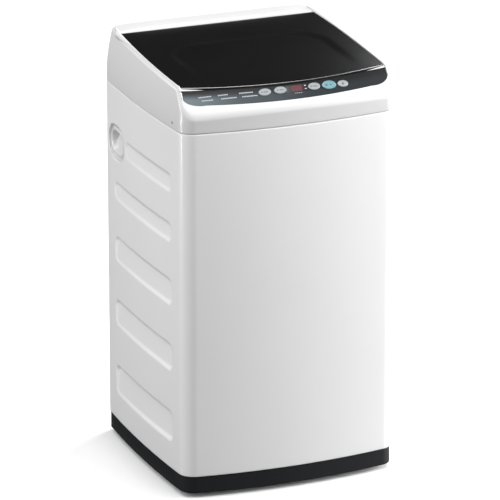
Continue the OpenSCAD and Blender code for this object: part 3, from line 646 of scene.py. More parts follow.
def make_cabinet(mats):
    """Folded sheet round the front, the sides and the rear's edges, with its ribs and the grips' holes."""
    half = half_outline(0.0, FINE, REAR_OPENING)
    inner = half_outline(1.0, FINE, REAR_OPENING)
    run = np.vstack([half[:0:-1] * [-1, 1], half])
    inward = np.vstack([inner[:0:-1] * [-1, 1], inner]) - run
    heights = np.arange(BORDER_Z + 0.8, SEAM_Z - 1.4, SHELL_PITCH)
    edge_low = [(1.0, BORDER_Z), (0.25, BORDER_Z + 0.25)]
    edge_high = [(0.25, SEAM_Z - 1.4), (1.0, SEAM_Z - 0.6), (6.0, SEAM_Z - 0.6)]
    rows = []
    for inset, z in edge_low:
        rows.append(level(run + inset * inward, z))
    for z in heights:
        rows.append(level(run + rib_depth(run[:, 1], z)[:, None] * inward, z))
    for inset, z in edge_high:
        rows.append(level(run + inset * inward, z))
    points = np.vstack(rows)
    faces = grid_faces(len(rows), len(run), False)

    def to_grip(y, z):
        return rounded_box_distance(y, z, GRIP_LOW, GRIP_HIGH, GRIP_R)

    on_side = np.abs(points[:, 0]) > 200
    points, faces = punch(points, faces, (1, 2), to_grip, SHELL_PITCH, on_side)
    shell = build("cabinet_shell", points, faces, mats["body_white"])
    thicken(shell, 1.0, inner_side(shell))
    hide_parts("cabinet")
    return shell


def grip_loop(grow):
    """Outline of the grip's hole in (y, z), grown."""
    low = [edge - grow for edge in GRIP_LOW]
    high = [edge + grow for edge in GRIP_HIGH]
    return rounded_loop(low, high, max(GRIP_R + grow, 2.0), 16)


def side_x(y, inset):
    """x of the right side of the cabinet at y, inset."""
    return SIDE_C[0] + np.sqrt((SIDE_R - inset) ** 2 - np.asarray(y, float) ** 2)


def make_grip(mats, side):
    """Moulded hand-hold set into the side; side is -1 on the left and 1 on the right."""
    steps = [(2.0, 2.2), (0.0, 1.6), (-0.5, 1.2), (-0.9, 2.0), (-1.0, 6.0), (-3.0, 7.0), (-6.0, 6.0)]
    steps += [(-7.5, 3.0), (-9.5, 1.8), (-12.0, 1.8), (-14.0, 3.0), (-15.5, 8.0), (-17.0, 18.0)]
    steps += [(-19.0, 23.0), (-24.0, 24.5)]
    rings = []
    for grow, inset in steps:
        loop = grip_loop(grow)
        scoop = 0.22 + 0.78 * smoothstep(loop[:, 1], GRIP_LOW[1] + 6.0, GRIP_HIGH[1] - 16.0)
        depth = 1.8 + (inset - 1.8) * np.where(grow < -12.0, scoop, 1.0)
        rings.append(np.column_stack([side * side_x(loop[:, 0], depth), loop]))
    name = "grip_right" if side > 0 else "grip_left"
    grip = loft(name, rings, mats["cover_white"], caps=(False, True))
    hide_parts("side_handle_right" if side > 0 else "side_handle_left")
    return grip


# ------------------------------------------------------------------ base
GROOVE_PITCH = 9.0
GROOVE_DEPTH = 1.1
BOSS_PLACE = (190, 175)
UPSTAND_H = 12.0


def make_base(mats):
    """Dark skirt with upright grooves on its sides, the feet's bosses and an upstand inside the sheet."""
    counts = (60, 14, 320, 10, 60)
    loop = outline(2.0, counts)
    inward = outline(3.0, counts) - loop
    along = loop[:, 1]
    on_side = (np.abs(loop[:, 0]) > 225) & (along > -168) & (along < 205)
    phase = np.abs(((along / GROOVE_PITCH) % 1.0) - 0.5) * 2
    groove = np.where(on_side, GROOVE_DEPTH * smoothstep(phase, 0.62, 0.86), 0.0)
    from_low = [(5.0, 0.0, 0), (1.2, 0.0, 0), (0.3, 0.5, 0), (0.0, 1.5, 0), (0.0, 3.5, 0), (0.0, 4.5, 1)]
    from_high = [(0.0, 5.0, 1), (0.0, 4.0, 0), (0.0, 1.2, 0), (0.4, 0.4, 0), (1.2, 0.1, 0), (12.0, 0.1, 0)]
    steps = [(inset, SKIRT_Z + rise, grooved) for inset, rise, grooved in from_low]
    steps += [(inset, BORDER_Z - drop, grooved) for inset, drop, grooved in from_high]
    rings = [level(loop + (inset + grooved * groove)[:, None] * inward, z) for inset, z, grooved in steps]
    skirt = loft("base_skirt", rings, mats["base_charcoal"])
    inside = loft(
        "base_inside",
        [level(outline(6.0), BORDER_Z - 0.1), level(outline(6.0), SKIRT_Z), level(outline(5.0), SKIRT_Z)],
        mats["base_charcoal"],
    )
    profile = rounded([(5.4, SKIRT_Z), (22, SKIRT_Z), (22, BORDER_Z - 3), (5.4, BORDER_Z - 3)], 1.5)
    bosses = []
    for side_x_sign in (-1, 1):
        for side_y_sign in (-1, 1):
            centre = (side_x_sign * BOSS_PLACE[0], side_y_sign * BOSS_PLACE[1])
            bosses.append(revolve("boss", profile, mats["base_charcoal"], centre, 40))
    top = BORDER_Z + UPSTAND_H
    low = BORDER_Z - 0.1
    lip = [(2.0, low), (2.0, top - 0.5), (2.5, top), (5.5, top), (6.0, top - 0.5), (6.0, low)]
    upstand = loft("upstand", [level(outline(inset), z) for inset, z in lip], mats["base_charcoal"])
    base = join("base_skirt", [skirt, inside] + bosses + [upstand])
    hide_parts("base_frame")
    return base


# ------------------------------------------------------------------ rear screws
SCREW_X = REAR_OPENING + 7.0
SCREW_Z = [90.0 + 170.0 * i for i in range(5)]


def make_rear_screws(mats):
    """Domed heads of the screws that hold the rear panel."""
    dome = [(0.01, 0.25), (1.4, 0.25), (2.6, 0.2), (3.1, 0.05), (3.2, -0.2), (3.2, -0.9), (0.01, -0.9)]
    heads = []
    for side in (-1, 1):
        for z in SCREW_Z:
            head = revolve("head", dome, mats["zinc_steel"], count=24)
            for vertex in head.data.vertices:
                x, y, out = vertex.co
                vertex.co = (x + side * SCREW_X * MM, out + HALF_D * MM, z * MM - y)
            heads.append(head)
    screws = join("rear_screw_heads", heads)
    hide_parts("rear_panel_screws")
    return screws


# ------------------------------------------------------------------ top cover
DECK_Y = 189.0
DECK_CROWN = 4.5
RIM_ROUND = 9.0
MOUTH_ROUND = 7.0
LEDGE = 5.8
PORT_X = 165.0
PORT_Z = 876.0
POCKET = (64.0, 52.0)
POCKET_R = 5.0
POCKET_Y = 219.6
COVER = (60, 18, 110, 14, 70)
SIDE_LEAN = 14.0
SIDE_LEAN_Z = (835.0, 936.0)
REAR_LEAN = 4.0
REAR_LEAN_Z = (900.0, 940.0)
REAR_LEAN_Y = 150.0
COVER_STRAIGHT_Z = 846.0


def soft_min(a, b, width):
    """The smaller of two heights, with their meeting line rounded over."""
    blend = np.clip(0.5 + 0.5 * (b - a) / width, 0, 1)
    return b * (1 - blend) + a * blend - width * blend * (1 - blend)


def cover_height(x, y):
    """Height of the top cover: the lid's plane cut by the panel's slope, crowned on the rear deck."""
    side = np.clip((np.abs(x) - 150.0) / 95.0, 0, 1)
    crown = DECK_CROWN * smoothstep(y, DECK_Y - 2, DECK_Y + 8) * (1 - 0.9 * side**2)
    return soft_min(lid_plane(y), panel_height(x, y), 7.0) + crown


def cover_lean(plan, z):
    """Plan points of the cover's wall at height z, leaning in towards the rim."""
    z = np.asarray(z, float)
    lift = np.clip((z - SIDE_LEAN_Z[0]) / (SIDE_LEAN_Z[1] - SIDE_LEAN_Z[0]), 0, 1.1)
    x = plan[:, 0] * (1 - SIDE_LEAN * lift**1.8 / HALF_W)
    rear = REAR_LEAN * np.clip((z - REAR_LEAN_Z[0]) / (REAR_LEAN_Z[1] - REAR_LEAN_Z[0]), 0, 1) ** 1.5
    behind = np.clip(plan[:, 1] - REAR_LEAN_Y, 0, None)
    return np.column_stack([x, plan[:, 1] - rear * behind / (HALF_D - REAR_LEAN_Y)])


def bend(start, middle, end, count):
    """Quadratic curve from start to end, pulled to middle."""
    t = np.linspace(0, 1, count + 1)[:, None]
    start, middle, end = (np.array(p, float) for p in (start, middle, end))
    return (1 - t) ** 2 * start + 2 * t * (1 - t) * middle + t * t * end


def lid_loop(grow, corner, counts=COVER, back=None, side=None):
    """Closed plan of the lid grown by grow, in the row frame, with the same stations as the outline."""
    half_x = LID_HALF + grow if side is None else side
    back_y = LID_LEN + grow if back is None else back
    reach = math.asin((half_x - corner) / (LID_FRONT_R + grow))
    front = polar((0, LID_FRONT_R), LID_FRONT_R + grow, -math.pi / 2, -math.pi / 2 + reach, counts[0])
    edge_y = LID_FRONT_R - (LID_FRONT_R + grow) * math.cos(math.asin(half_x / (LID_FRONT_R + grow)))
    turn = bend(front[-1], (half_x, edge_y), (half_x, edge_y + corner), counts[1])
    run_y = np.linspace(edge_y + corner, back_y - 4, counts[2] + 1)
    run = np.column_stack([np.full(len(run_y), half_x), run_y])
    rear_turn = bend(run[-1], (half_x, back_y), (half_x - 4, back_y), counts[3])
    rear_x = np.linspace(half_x - 4, 0, counts[4] + 1)
    rear = np.column_stack([rear_x, np.full(len(rear_x), back_y)])
    half = np.vstack([front, turn[1:], run[1:], rear_turn[1:], rear[1:]])
    half[:, 1] = LID_FRONT[1] + half[:, 1] * math.cos(LID_TILT)
    return mirrored(half)


def make_cover(mats):
    """Moulded top in one skin: wall, rounded rim, ledge under the lid, recess and loading mouth."""
    loop = outline(0.0, COVER)
    inward = outline(1.0, COVER) - loop

    def wall(inset, z):
        return level(cover_lean(loop + inset * inward, z), z)

    rings = [wall(3.0, SEAM_Z + 0.4), wall(0.6, SEAM_Z + 0.4), wall(0.1, SEAM_Z + 0.9)]
    for z in np.arange(SEAM_Z + 2.5, COVER_STRAIGHT_Z + 0.1, 3.0):
        rings.append(wall(0.0, z))
    edge_z = cover_height(loop[:, 0], loop[:, 1]) - RIM_ROUND
    for k in range(1, 26):
        rings.append(wall(0.0, COVER_STRAIGHT_Z + (edge_z - COVER_STRAIGHT_Z) * k / 25))
    for k in range(1, 8):
        theta = math.pi / 2 * k / 7
        inset = RIM_ROUND * (1 - math.cos(theta))
        plan = cover_lean(loop + inset * inward, edge_z)
        rings.append(level(plan, cover_height(plan[:, 0], plan[:, 1]) - RIM_ROUND * (1 - math.sin(theta))))
    rim = rings[-1][:, :2]
    mouth_edge = lid_loop(RIM_GAP, 9.0)
    for t in np.linspace(0, 1, 17)[1:-1]:
        plan = rim + (mouth_edge - rim) * t
        rings.append(level(plan, cover_height(plan[:, 0], plan[:, 1])))
    top_z = cover_height(mouth_edge[:, 0], mouth_edge[:, 1]) - 0.7
    shelf = np.minimum(top_z, lid_plane(mouth_edge[:, 1]) - LEDGE)
    step = lid_loop(-16.0, 14.0, back=LID_LEN + RIM_GAP - 0.5, side=LID_HALF - 4)
    step_z = np.minimum(panel_height(step[:, 0], step[:, 1]), lid_plane(step[:, 1]) - LEDGE)
    rings.append(level(mouth_edge, top_z))
    rings.append(level(mouth_edge, shelf))
    rings.append(level(step + (mouth_edge - step) * 0.15, step_z))
    rings.append(level(step, step_z - 0.8))
    floor_edge = step * 0.994
    rings.append(level(step * 0.998, lid_plane(step[:, 1]) - RECESS_D + 2.0))
    rings.append(level(floor_edge, lid_plane(floor_edge[:, 1]) - RECESS_D + 0.5))
    angle = np.arctan2(step[:, 1], step[:, 0])
    round_mouth = np.column_stack([np.cos(angle), np.sin(angle)])
    lip = (MOUTH_R + MOUTH_ROUND) * round_mouth
    for t in np.linspace(0, 1, 9)[1:]:
        plan = floor_edge + (lip - floor_edge) * t
        rings.append(level(plan, lid_plane(plan[:, 1]) - RECESS_D))
    lip_z = lid_plane(lip[:, 1]) - RECESS_D
    for k in range(1, 6):
        theta = math.pi / 2 * k / 5
        radius = MOUTH_R + MOUTH_ROUND * (1 - math.sin(theta))
        rings.append(level(radius * round_mouth, lip_z - MOUTH_ROUND * (1 - math.cos(theta))))
    neck_z = lip_z - MOUTH_ROUND
    for t in np.linspace(0, 1, 8)[1:]:
        rings.append(level(MOUTH_R * round_mouth, neck_z + (SEAM_Z + 0.5 - neck_z) * t))
    points = np.vstack(rings)
    faces = grid_faces(len(rings), len(loop), True)

    def to_pocket(x, z):
        return rounded_box_distance(x, z, *pocket_corners(0.0), POCKET_R)

    on_rear = points[:, 1] > HALF_D - 2.0
    points, faces = punch(points, faces, (0, 2), to_pocket, 3.6, on_rear)
    shell = build("top_cover_shell", points, faces, mats["cover_white"])
    thicken(shell, 2.0)
    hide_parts("top_cover", "rear_deck")
    return shell


def pocket_corners(grow):
    """Two opposite corners of the water inlet's recess in (x, z), grown."""
    half_x, half_z = POCKET[0] / 2 + grow, POCKET[1] / 2 + grow
    return (PORT_X - half_x, PORT_Z - half_z), (PORT_X + half_x, PORT_Z + half_z)


def make_pocket(mats):
    """Recess in the rear wall for the water inlet."""

    def loop(grow, y):
        ring = rounded_loop(*pocket_corners(grow), max(POCKET_R + grow, 0.8), 6)
        return np.column_stack([ring[:, 0], np.full(len(ring), y), ring[:, 1]])

    white = mats["cover_white"]
    steps = [(1.6, 244.0), (0.4, 244.9), (-0.3, 244.7), (-1.0, 243.0), (-1.4, 222.0), (-3.0, 220.0)]
    steps.append((-13.0, POCKET_Y))
    pocket = loft("inlet_pocket", [loop(grow, y) for grow, y in steps], white)
    back_y = POCKET_Y - 0.6
    profile = [(14.3, POCKET_Y), (17.5, POCKET_Y), (17.5, back_y), (14.3, back_y)]
    plate = revolve("plate", profile, white, count=48)
    for vertex in plate.data.vertices:
        x, y, z = vertex.co
        vertex.co = (x + PORT_X * MM, z, y + PORT_Z * MM)
    back = loft("back", [loop(-13.0, POCKET_Y), port_ring(17.4, 28)], white)
    return join("inlet_pocket", [pocket, plate, back])


def port_ring(radius, count):
    """A ring round the inlet on the back of its recess, matched to the recess's stations."""
    angle = np.linspace(0, TAU, count, endpoint=False) + TAU / 16
    x, z = PORT_X + radius * np.cos(angle), PORT_Z + radius * np.sin(angle)
    return np.column_stack([x, np.full(count, POCKET_Y), z])


# ------------------------------------------------------------------ fascia, buttons, display
FASCIA_PROUD = 0.35
FASCIA_DROP = 20.0
FASCIA_CLIMB = 22.5
FASCIA_CORNER = (46.0, 26.0)
BUTTON_X = {"program": -59.0, "water_level": -24.0, "delay": 54.0, "start": 89.0, "power": 122.0}
BUTTON_USUAL = (28.0, 16.5)
BUTTON_SIZE = {"start": (33.0, 19.5), "power": (25.0, 15.5)}
BUTTON_PROUD = 2.2
WINDOW_X = 15.0
WINDOW = (48.0, 17.0)
GLOW_X = WINDOW_X - 1.0
LIGHT_X = (-206.0, -164.0, -118.0)
PROGRAM_ENDS = ((-174.0, -139.0, -83.0), (-173.0, -123.0, -77.0))


def fascia_low(x):
    """Lower edge of the fascia up the slope at x, with its rounded ends."""
    x = np.abs(np.asarray(x, float))
    start = PANEL_HALF - FASCIA_CORNER[0]
    across = np.clip((x - start) / FASCIA_CORNER[0], 0, 1)
    middle = FASCIA_CLIMB * (np.minimum(x, start) / PANEL_HALF) ** 2 - FASCIA_DROP
    return middle + FASCIA_CORNER[1] * (1 - np.sqrt(1 - across**2))


def fascia_high(x):
    """Upper edge of the fascia, just under the lid."""
    out = panel_sag(x)
    tilt = math.tan(LID_TILT)
    behind = PANEL_MID[1] - LID_FRONT[1] - out * math.sin(PANEL_ANGLE)
    room = LID_FRONT[2] - LEDGE - 1.0 - PANEL_MID[2] + tilt * behind
    return (room - out * math.cos(PANEL_ANGLE)) / (math.sin(PANEL_ANGLE) - tilt * math.cos(PANEL_ANGLE))


def make_fascia(mats):
    """Sloped panel with a rounded edge, and its lip that runs back under the lid."""
    half = PANEL_HALF - 0.3
    xs = half * np.sin(np.linspace(-math.pi / 2, math.pi / 2, 261))
    ts = np.concatenate([[0, 0.4, 0.9, 1.6], np.linspace(3.0, 60.0, 30)])
    low, high = fascia_low(xs), fascia_high(xs)
    rings = []
    for t in ts:
        s = np.minimum(low + t, high)
        edge = np.minimum(s - low, half - np.abs(xs))
        out = FASCIA_PROUD - 1.4 * (1 - np.sqrt(1 - (1 - np.clip(edge / 1.2, 0, 1)) ** 2))
        rings.append(on_slope(np.column_stack([xs, s, out])))
    under_y = LID_FRONT[1] + lid_front_y(xs) * math.cos(LID_TILT) + 3.0
    for share in (0.08, 0.3, 1.0):
        y = rings[len(ts) - 1][:, 1] * (1 - share) + under_y * share
        rings.append(np.column_stack([xs, y, lid_plane(y) - LEDGE + 0.35]))
    fascia = loft("fascia", rings, mats["panel_slate"], closed=False)
    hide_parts("control_panel")
    return fascia


def make_button(mats, name):
    """Dished oval cap on a short stem, in its own frame along its travel."""
    x = BUTTON_X[name]
    size = BUTTON_SIZE.get(name, BUTTON_USUAL)
    angle = np.linspace(0, TAU, 64, endpoint=False)

    def loop(grow, z):
        across, up = (size[0] / 2 + grow) * np.cos(angle), (size[1] / 2 + grow) * np.sin(angle)
        return np.column_stack([across, up, np.full(len(angle), z)])

    top = BUTTON_PROUD
    rim = [(0.0, -8.6), (0.0, top - 1.1), (-0.12, top - 0.6), (-0.5, top - 0.2), (-1.0, top), (-1.7, top)]
    dish = [(-2.1, top - 0.12), (-2.6, top - 0.22), (-4.5, top - 0.2), (-6.5, top - 0.16)]
    rings = [on_button(loop(grow, z), x) for grow, z in rim + dish]
    finish = mats["button_blue" if name == "start" else "button_silver"]
    cap = loft(f"cap_{name}", rings, finish, caps=(True, True))
    marks = []
    for shift, width, height in button_marks(name):
        marks.append(patch("mark", shift, width, height, x, top - 0.14, mats["mark_dark"]))
    piece = join(f"button_cap_{name}", [cap] + marks)
    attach(piece, f"button_{name}_body")
    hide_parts(f"button_{name}")


def button_marks(name):
    """Generic dot and dash marks on a cap: shift, width, height."""
    dash = [(-6.0, 3.0, 3.0), (2.6, 10.0, 2.0)]
    return {"start": [(-6.0, 5.5, 5.5), (4.5, 5.5, 3.2)], "power": [(0.0, 5.2, 5.2)]}.get(name, dash)


def patch(name, shift, width, height, at_x, lift, material):
    """A thin badge with round ends on the cap of the button at at_x."""
    angle = np.linspace(0, TAU, 40, endpoint=False)
    across = width / 2 * np.sign(np.cos(angle)) * np.abs(np.cos(angle)) ** 0.6
    up = height / 2 * np.sign(np.sin(angle)) * np.abs(np.sin(angle)) ** 0.6
    outer = np.column_stack([shift + across, up, np.full(len(angle), lift)])
    inner = np.column_stack([shift + 0.9 * across, 0.9 * up, np.full(len(angle), lift + 0.12)])
    below = outer - np.array([0, 0, 0.4])
    return loft(name, [on_button(ring, at_x) for ring in (below, outer, inner)], material, caps=(False, True))


def make_display(mats):
    """Dark window flush in the fascia, with three dim seven segment digits on a faint red glow."""
    xs = np.linspace(-WINDOW[0] / 2, WINDOW[0] / 2, 25)
    ys = np.linspace(-WINDOW[1] / 2, WINDOW[1] / 2, 13)
    rings = []
    for y in ys:
        edge = np.minimum(WINDOW[0] / 2 - np.abs(xs), WINDOW[1] / 2 - abs(y))
        out = FASCIA_PROUD + 0.25 * smoothstep(edge, -0.2, 1.0)
        rings.append(on_slope(np.column_stack([WINDOW_X + xs, np.full(len(xs), CONTROL_RISE + y), out])))
    glass = loft("glass", rings, mats["display_red"], closed=False)
    bars = [panel_mark(GLOW_X, 0.0, 25.0, 14.5, mats["glow_red"], 0.64)]
    for digit in (-7.5, 0.0, 7.5):
        for y in (4.4, 0, -4.4):
            bars.append(panel_mark(GLOW_X + digit, y, 3.2, 0.9, mats["digit_red"], 0.74))
        for x, y in ((-2.2, 2.2), (2.2, 2.2), (-2.2, -2.2), (2.2, -2.2)):
            bars.append(panel_mark(GLOW_X + digit + x, y, 0.9, 3.3, mats["digit_red"], 0.74))
    window = join("display_glass", [glass] + bars)
    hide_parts("display_window")
    return window


def panel_mark(x, y, width, height, material, lift=FASCIA_PROUD + 0.05):
    """Small printed mark following the panel's bow."""
    us = np.linspace(-width / 2, width / 2, 5)
    y = y + CONTROL_RISE
    top = on_slope(np.column_stack([x + us, np.full(5, y + height / 2), np.full(5, lift)]))
    low = on_slope(np.column_stack([x + us, np.full(5, y - height / 2), np.full(5, lift)]))
    return loft("mark", [low, top], material, closed=False)


def program_row(row, x):
    """Height of a program row at x; both rows climb a little towards the left end."""
    return 4.4 - 8.4 * row + 0.055 * (-x - 90.0)


def make_panel_marks(mats):
    """Generic dots and dashes where the panel's program list and lamps are."""
    marks = []
    for row, ends in enumerate(PROGRAM_ENDS):
        for light, end in zip(LIGHT_X, ends):
            cursor = light + 5.0 * row + 4.6
            while cursor < end:
                marks.append(panel_mark(cursor, program_row(row, cursor), 2.3, 2.5, mats["mark_light"]))
                cursor += 3.1
    for y in (4.6, -2.8):
        marks.append(panel_mark(WINDOW_X + 19.5, y, 4.4, 2.0, mats["mark_light"], 0.70))
    for k in range(4):
        marks.append(panel_mark(WINDOW_X - 6.0 + 4.6 * k, -10.8, 2.8, 1.1, mats["mark_light"]))
    marks.append(panel_mark(-6.0, 0.5, 5.0, 6.0, mats["lamp_green"]))
    return join("panel_marks", marks)


# ------------------------------------------------------------------ lid
LID_EDGE = 1.2
LID_CORNER = 7.0


def lid_dish(x, y):
    """Depth of the shallow dish pressed in the lid, row frame."""
    distance = rounded_box_distance(x, y, (-176.0, -260.0), (187.0, 82.0), 78.0)
    return 3.0 * smoothstep(-distance, -6.0, 16.0) * smoothstep(y, -190.0, 20.0)


def make_lid(mats):
    """Lid panel with its bowed front edge and the shallow dish pressed in it."""
    spread = math.radians(84)
    columns = np.sin(np.linspace(-1, 1, 141) * spread) / math.sin(spread)
    length = LID_LEN - LID_EDGE
    rows = np.concatenate([[0, 0.6, 1.4, 2.6, 4.2, 6.0], np.linspace(9, length, 130)]) / length
    rings = []
    for t in rows:
        back = t * LID_LEN
        corner = LID_CORNER - math.sqrt(max(0.0, LID_CORNER**2 - max(0.0, LID_CORNER - back) ** 2))
        half_x = LID_HALF - LID_EDGE - corner
        xs = columns * half_x
        front = lid_front_y(xs) + LID_EDGE
        ys = front + t * (length - front)
        zs = -lid_dish(xs, LID_FRONT[1] + ys)
        rings.append(on_lid(np.column_stack([xs, ys, zs])))
    sheet = loft("lid_sheet", rings, mats["lid_black"], closed=False)
    thicken(sheet, LID_T - 0.4)
    bevelled(sheet, 0.9, 60.0)
    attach(sheet, "lid_assembly")
    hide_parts("lid")


def make_lid_frame(mats):
    """Stiffening frame under the lid, with the barrels that hold its pins."""
    counts = (24, 6, 20, 4, 24)
    half_x, front, back = 226.0, 26.0, 384.0
    profile = [(0.0, -4.2), (0.0, -9.0), (1.0, -10.0), (17.0, -10.0)]
    profile += [(18.0, -9.0), (18.0, -7.0), (24.0, -6.0), (24.0, -4.2)]
    rings = []
    for inset, z in profile:
        plan = lid_loop(-inset - 9.0, 16.0, counts, back=back - inset, side=half_x - inset)
        local_y = (plan[:, 1] - LID_FRONT[1]) / math.cos(LID_TILT) + (front - 9.0) * (plan[:, 1] < 0)
        rings.append(on_lid(np.column_stack([plan[:, 0], local_y, np.full(len(plan), z)])))
    pieces = [loft("frame", rings + [rings[0]], mats["drawer_white"])]
    angle = np.linspace(0, TAU, 32, endpoint=False)
    for side in (-1, 1):
        barrel = []
        for x, radius in ((212.0, 4.2), (212.8, 5.0), (229.2, 5.0), (230.0, 4.2)):
            y, z = LID_LEN - 7 + radius * np.cos(angle), -LID_T + radius * np.sin(angle)
            barrel.append(on_lid(np.column_stack([np.full(len(angle), side * x), y, z])))
        pieces.append(loft("barrel", barrel, mats["lid_black"], caps=(True, True)))
    frame = join("lid_frame", pieces)
    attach(frame, "lid_assembly")


def make_lid_trim(mats):
    """Bright strip round the front and the sides of the lid."""
    counts = (70, 10, 60, 4, 4)
    loop = lid_loop(0.0, 6.5, counts)
    inner = lid_loop(-1.0, 6.5, counts, side=LID_HALF - 1.0)
    half_count = sum(counts[:3]) + 1
    total = len(loop)
    order = [(i - half_count + 1) % total for i in range(2 * half_count - 1)]
    edge = (loop - [0, LID_FRONT[1]]) / [1, math.cos(LID_TILT)]
    inward = (inner - [0, LID_FRONT[1]]) / [1, math.cos(LID_TILT)] - edge
    profile = [(1.4, -1.4), (0.5, -1.3), (0.1, -1.6), (0.0, -2.0)]
    profile += [(0.0, -3.0), (0.1, -3.4), (0.5, -3.7), (1.4, -3.8)]
    rings = []
    for inset, z in profile + profile[:1]:
        plan = (edge + inset * inward)[order]
        rings.append(on_lid(np.column_stack([plan, np.full(len(plan), z)])))
    strip = loft("lid_edge", rings, mats["trim_silver"], closed=False)
    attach(strip, "lid_assembly")
    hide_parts("lid_trim")


# ------------------------------------------------------------------ studio
CAMERA_LENS = 331.68
CAMERA_DISTANCE = 10.060
CAMERA_TARGET = (-0.0018, 0.0, 0.467)
CAMERA_AZIMUTH = math.radians(-22.62)
CAMERA_ELEVATION = math.radians(18.61)
FLOOR_BOUNCE = 0.10
FLOOR_PALE = 0.9


def direction(azimuth, elevation):
    """Unit vector towards a place at azimuth (0 is the front, positive to the right) and elevation."""
    flat = math.cos(elevation)
    return Vector((math.sin(azimuth) * flat, -math.cos(azimuth) * flat, math.sin(elevation)))


def make_camera():
    """Long lens that stands far off, a little to the left and above."""
    data = bpy.data.cameras.new("camera")
    data.lens = CAMERA_LENS
    data.sensor_width = 36.0
    data.clip_end = 60.0
    camera = bpy.data.objects.new("camera", data)
    back = direction(CAMERA_AZIMUTH, CAMERA_ELEVATION)
    camera.location = Vector(CAMERA_TARGET) + CAMERA_DISTANCE * back
    camera.rotation_euler = (-back).to_track_quat("-Z", "Y").to_euler()
    bpy.context.scene.collection.objects.link(camera)
    bpy.context.scene.camera = camera


def softbox(name, azimuth, elevation, distance, size, power):
    """Rectangular light aimed at the middle of the machine; angles in degrees."""
    data = bpy.data.lights.new(name, "AREA")
    data.shape = "RECTANGLE"
    data.size, data.size_y = size
    data.energy = power
    light = bpy.data.objects.new(name, data)
    away = direction(math.radians(azimuth), math.radians(elevation))
    light.location = Vector((0, 0, 0.5)) + distance * away
    light.rotation_euler = (-away).to_track_quat("-Z", "Y").to_euler()
    bpy.context.scene.collection.objects.link(light)


def sky(tree, base, lobes):
    """World brightness: a base level plus soft lobes of (azimuth, elevation, strength, power), in degrees."""
    coords = tree.nodes.new("ShaderNodeTexCoord").outputs["Generated"]
    total = None
    for azimuth, elevation, strength, power in lobes:
        dot = tree.nodes.new("ShaderNodeVectorMath")
        dot.operation = "DOT_PRODUCT"
        dot.inputs[1].default_value = direction(math.radians(azimuth), math.radians(elevation))
        tree.links.new(coords, dot.inputs[0])
        lobe = dot.outputs["Value"]
        for operation, value in (("MAXIMUM", 0.0), ("POWER", power), ("MULTIPLY", strength)):
            step = tree.nodes.new("ShaderNodeMath")
            step.operation = operation
            step.inputs[1].default_value = value
            tree.links.new(lobe, step.inputs[0])
            lobe = step.outputs["Value"]
        add = tree.nodes.new("ShaderNodeMath")
        add.operation = "ADD"
        add.inputs[1].default_value = base
        tree.links.new(lobe, add.inputs[0])
        if total is not None:
            tree.links.new(total, add.inputs[1])
        total = add.outputs["Value"]
    tree.links.new(total, tree.nodes["Background"].inputs["Strength"])


def studio_floor_material():
    """Pale matt floor that throws little light back up on the machine."""
    m = Nodes("studio_floor")
    tone = m.spread(m.add("ShaderNodeLightPath").outputs["Is Camera Ray"], FLOOR_BOUNCE, FLOOR_PALE)
    matt = m.add("ShaderNodeBsdfDiffuse")
    m.link(tone, matt.inputs["Color"])
    m.link(matt.outputs["BSDF"], m.tree.nodes["Material Output"].inputs["Surface"])
    return m.material


def make_studio():
    """White surroundings that are brightest to the right, four lights and a pale floor."""
    scene = bpy.context.scene
    scene.view_settings.view_transform = "Standard"
    world = bpy.data.worlds.new("studio")
    scene.world = world
    world.use_nodes = True
    world.node_tree.nodes["Background"].inputs["Color"].default_value = (1.0, 1.0, 1.0, 1.0)
    lobes = [(84, 8, 31.5, 16.0), (-28, 28, 0.94, 2.0), (-112, 36, 0.40, 3.0), (0, 90, 1.4, 6.0)]
    sky(world.node_tree, 0.03, lobes)
    softbox("high_front", 0, 55, 1.75, (1.1, 0.8), 7)
    softbox("strip", -97, 8, 2.4, (0.08, 2.0), 26)
    softbox("side_rear", -128, 36, 1.9, (0.9, 0.9), 5.5)
    softbox("lid_sheen", 130, 24, 1.5, (0.5, 0.5), 15)
    floor_finish = studio_floor_material()
    size = 40000.0
    corners = [(-size, -size, 0), (size, -size, 0), (size, size, 0), (-size, size, 0)]
    build("studio_floor", corners, [(0, 1, 2, 3)], floor_finish)


# ------------------------------------------------------------------ basket
BASKET_R = 189.9
BASKET_Z = (236.0, 712.0)


def make_basket(mats):
    """Steel wall of the basket with staggered rows of holes."""
    columns, rows, margin = 264, 96, 7
    angle = np.linspace(0, TAU, columns, endpoint=False)
    ring = BASKET_R * np.column_stack([np.cos(angle), np.sin(angle)])
    points = np.vstack([level(ring, z) for z in np.linspace(*BASKET_Z, rows)])

    def holed(index):
        row, column = divmod(index, columns)
        return margin < row < rows - margin and row % 3 == 1 and (column + 2 * (row // 3 % 2)) % 4 == 1

    faces = [face for index, face in enumerate(grid_faces(rows, columns, True)) if not holed(index)]
    wall = build("basket_wall", points, faces, mats["stainless"])
    thicken(wall, 1.3, inner_side(wall))
    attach(wall, "basket_assembly")
    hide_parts("basket")


# ------------------------------------------------------------------ springs and hoses under the tub
SPRING_PLACE = (190.0, 175.0)
SPRING_Z = (113.3, 213.7)
SPRING_R = 13.5
SPRING_WIRE = 1.5
HOSE_RIB = 7.0
DRAIN_HOSE_R = 14.0


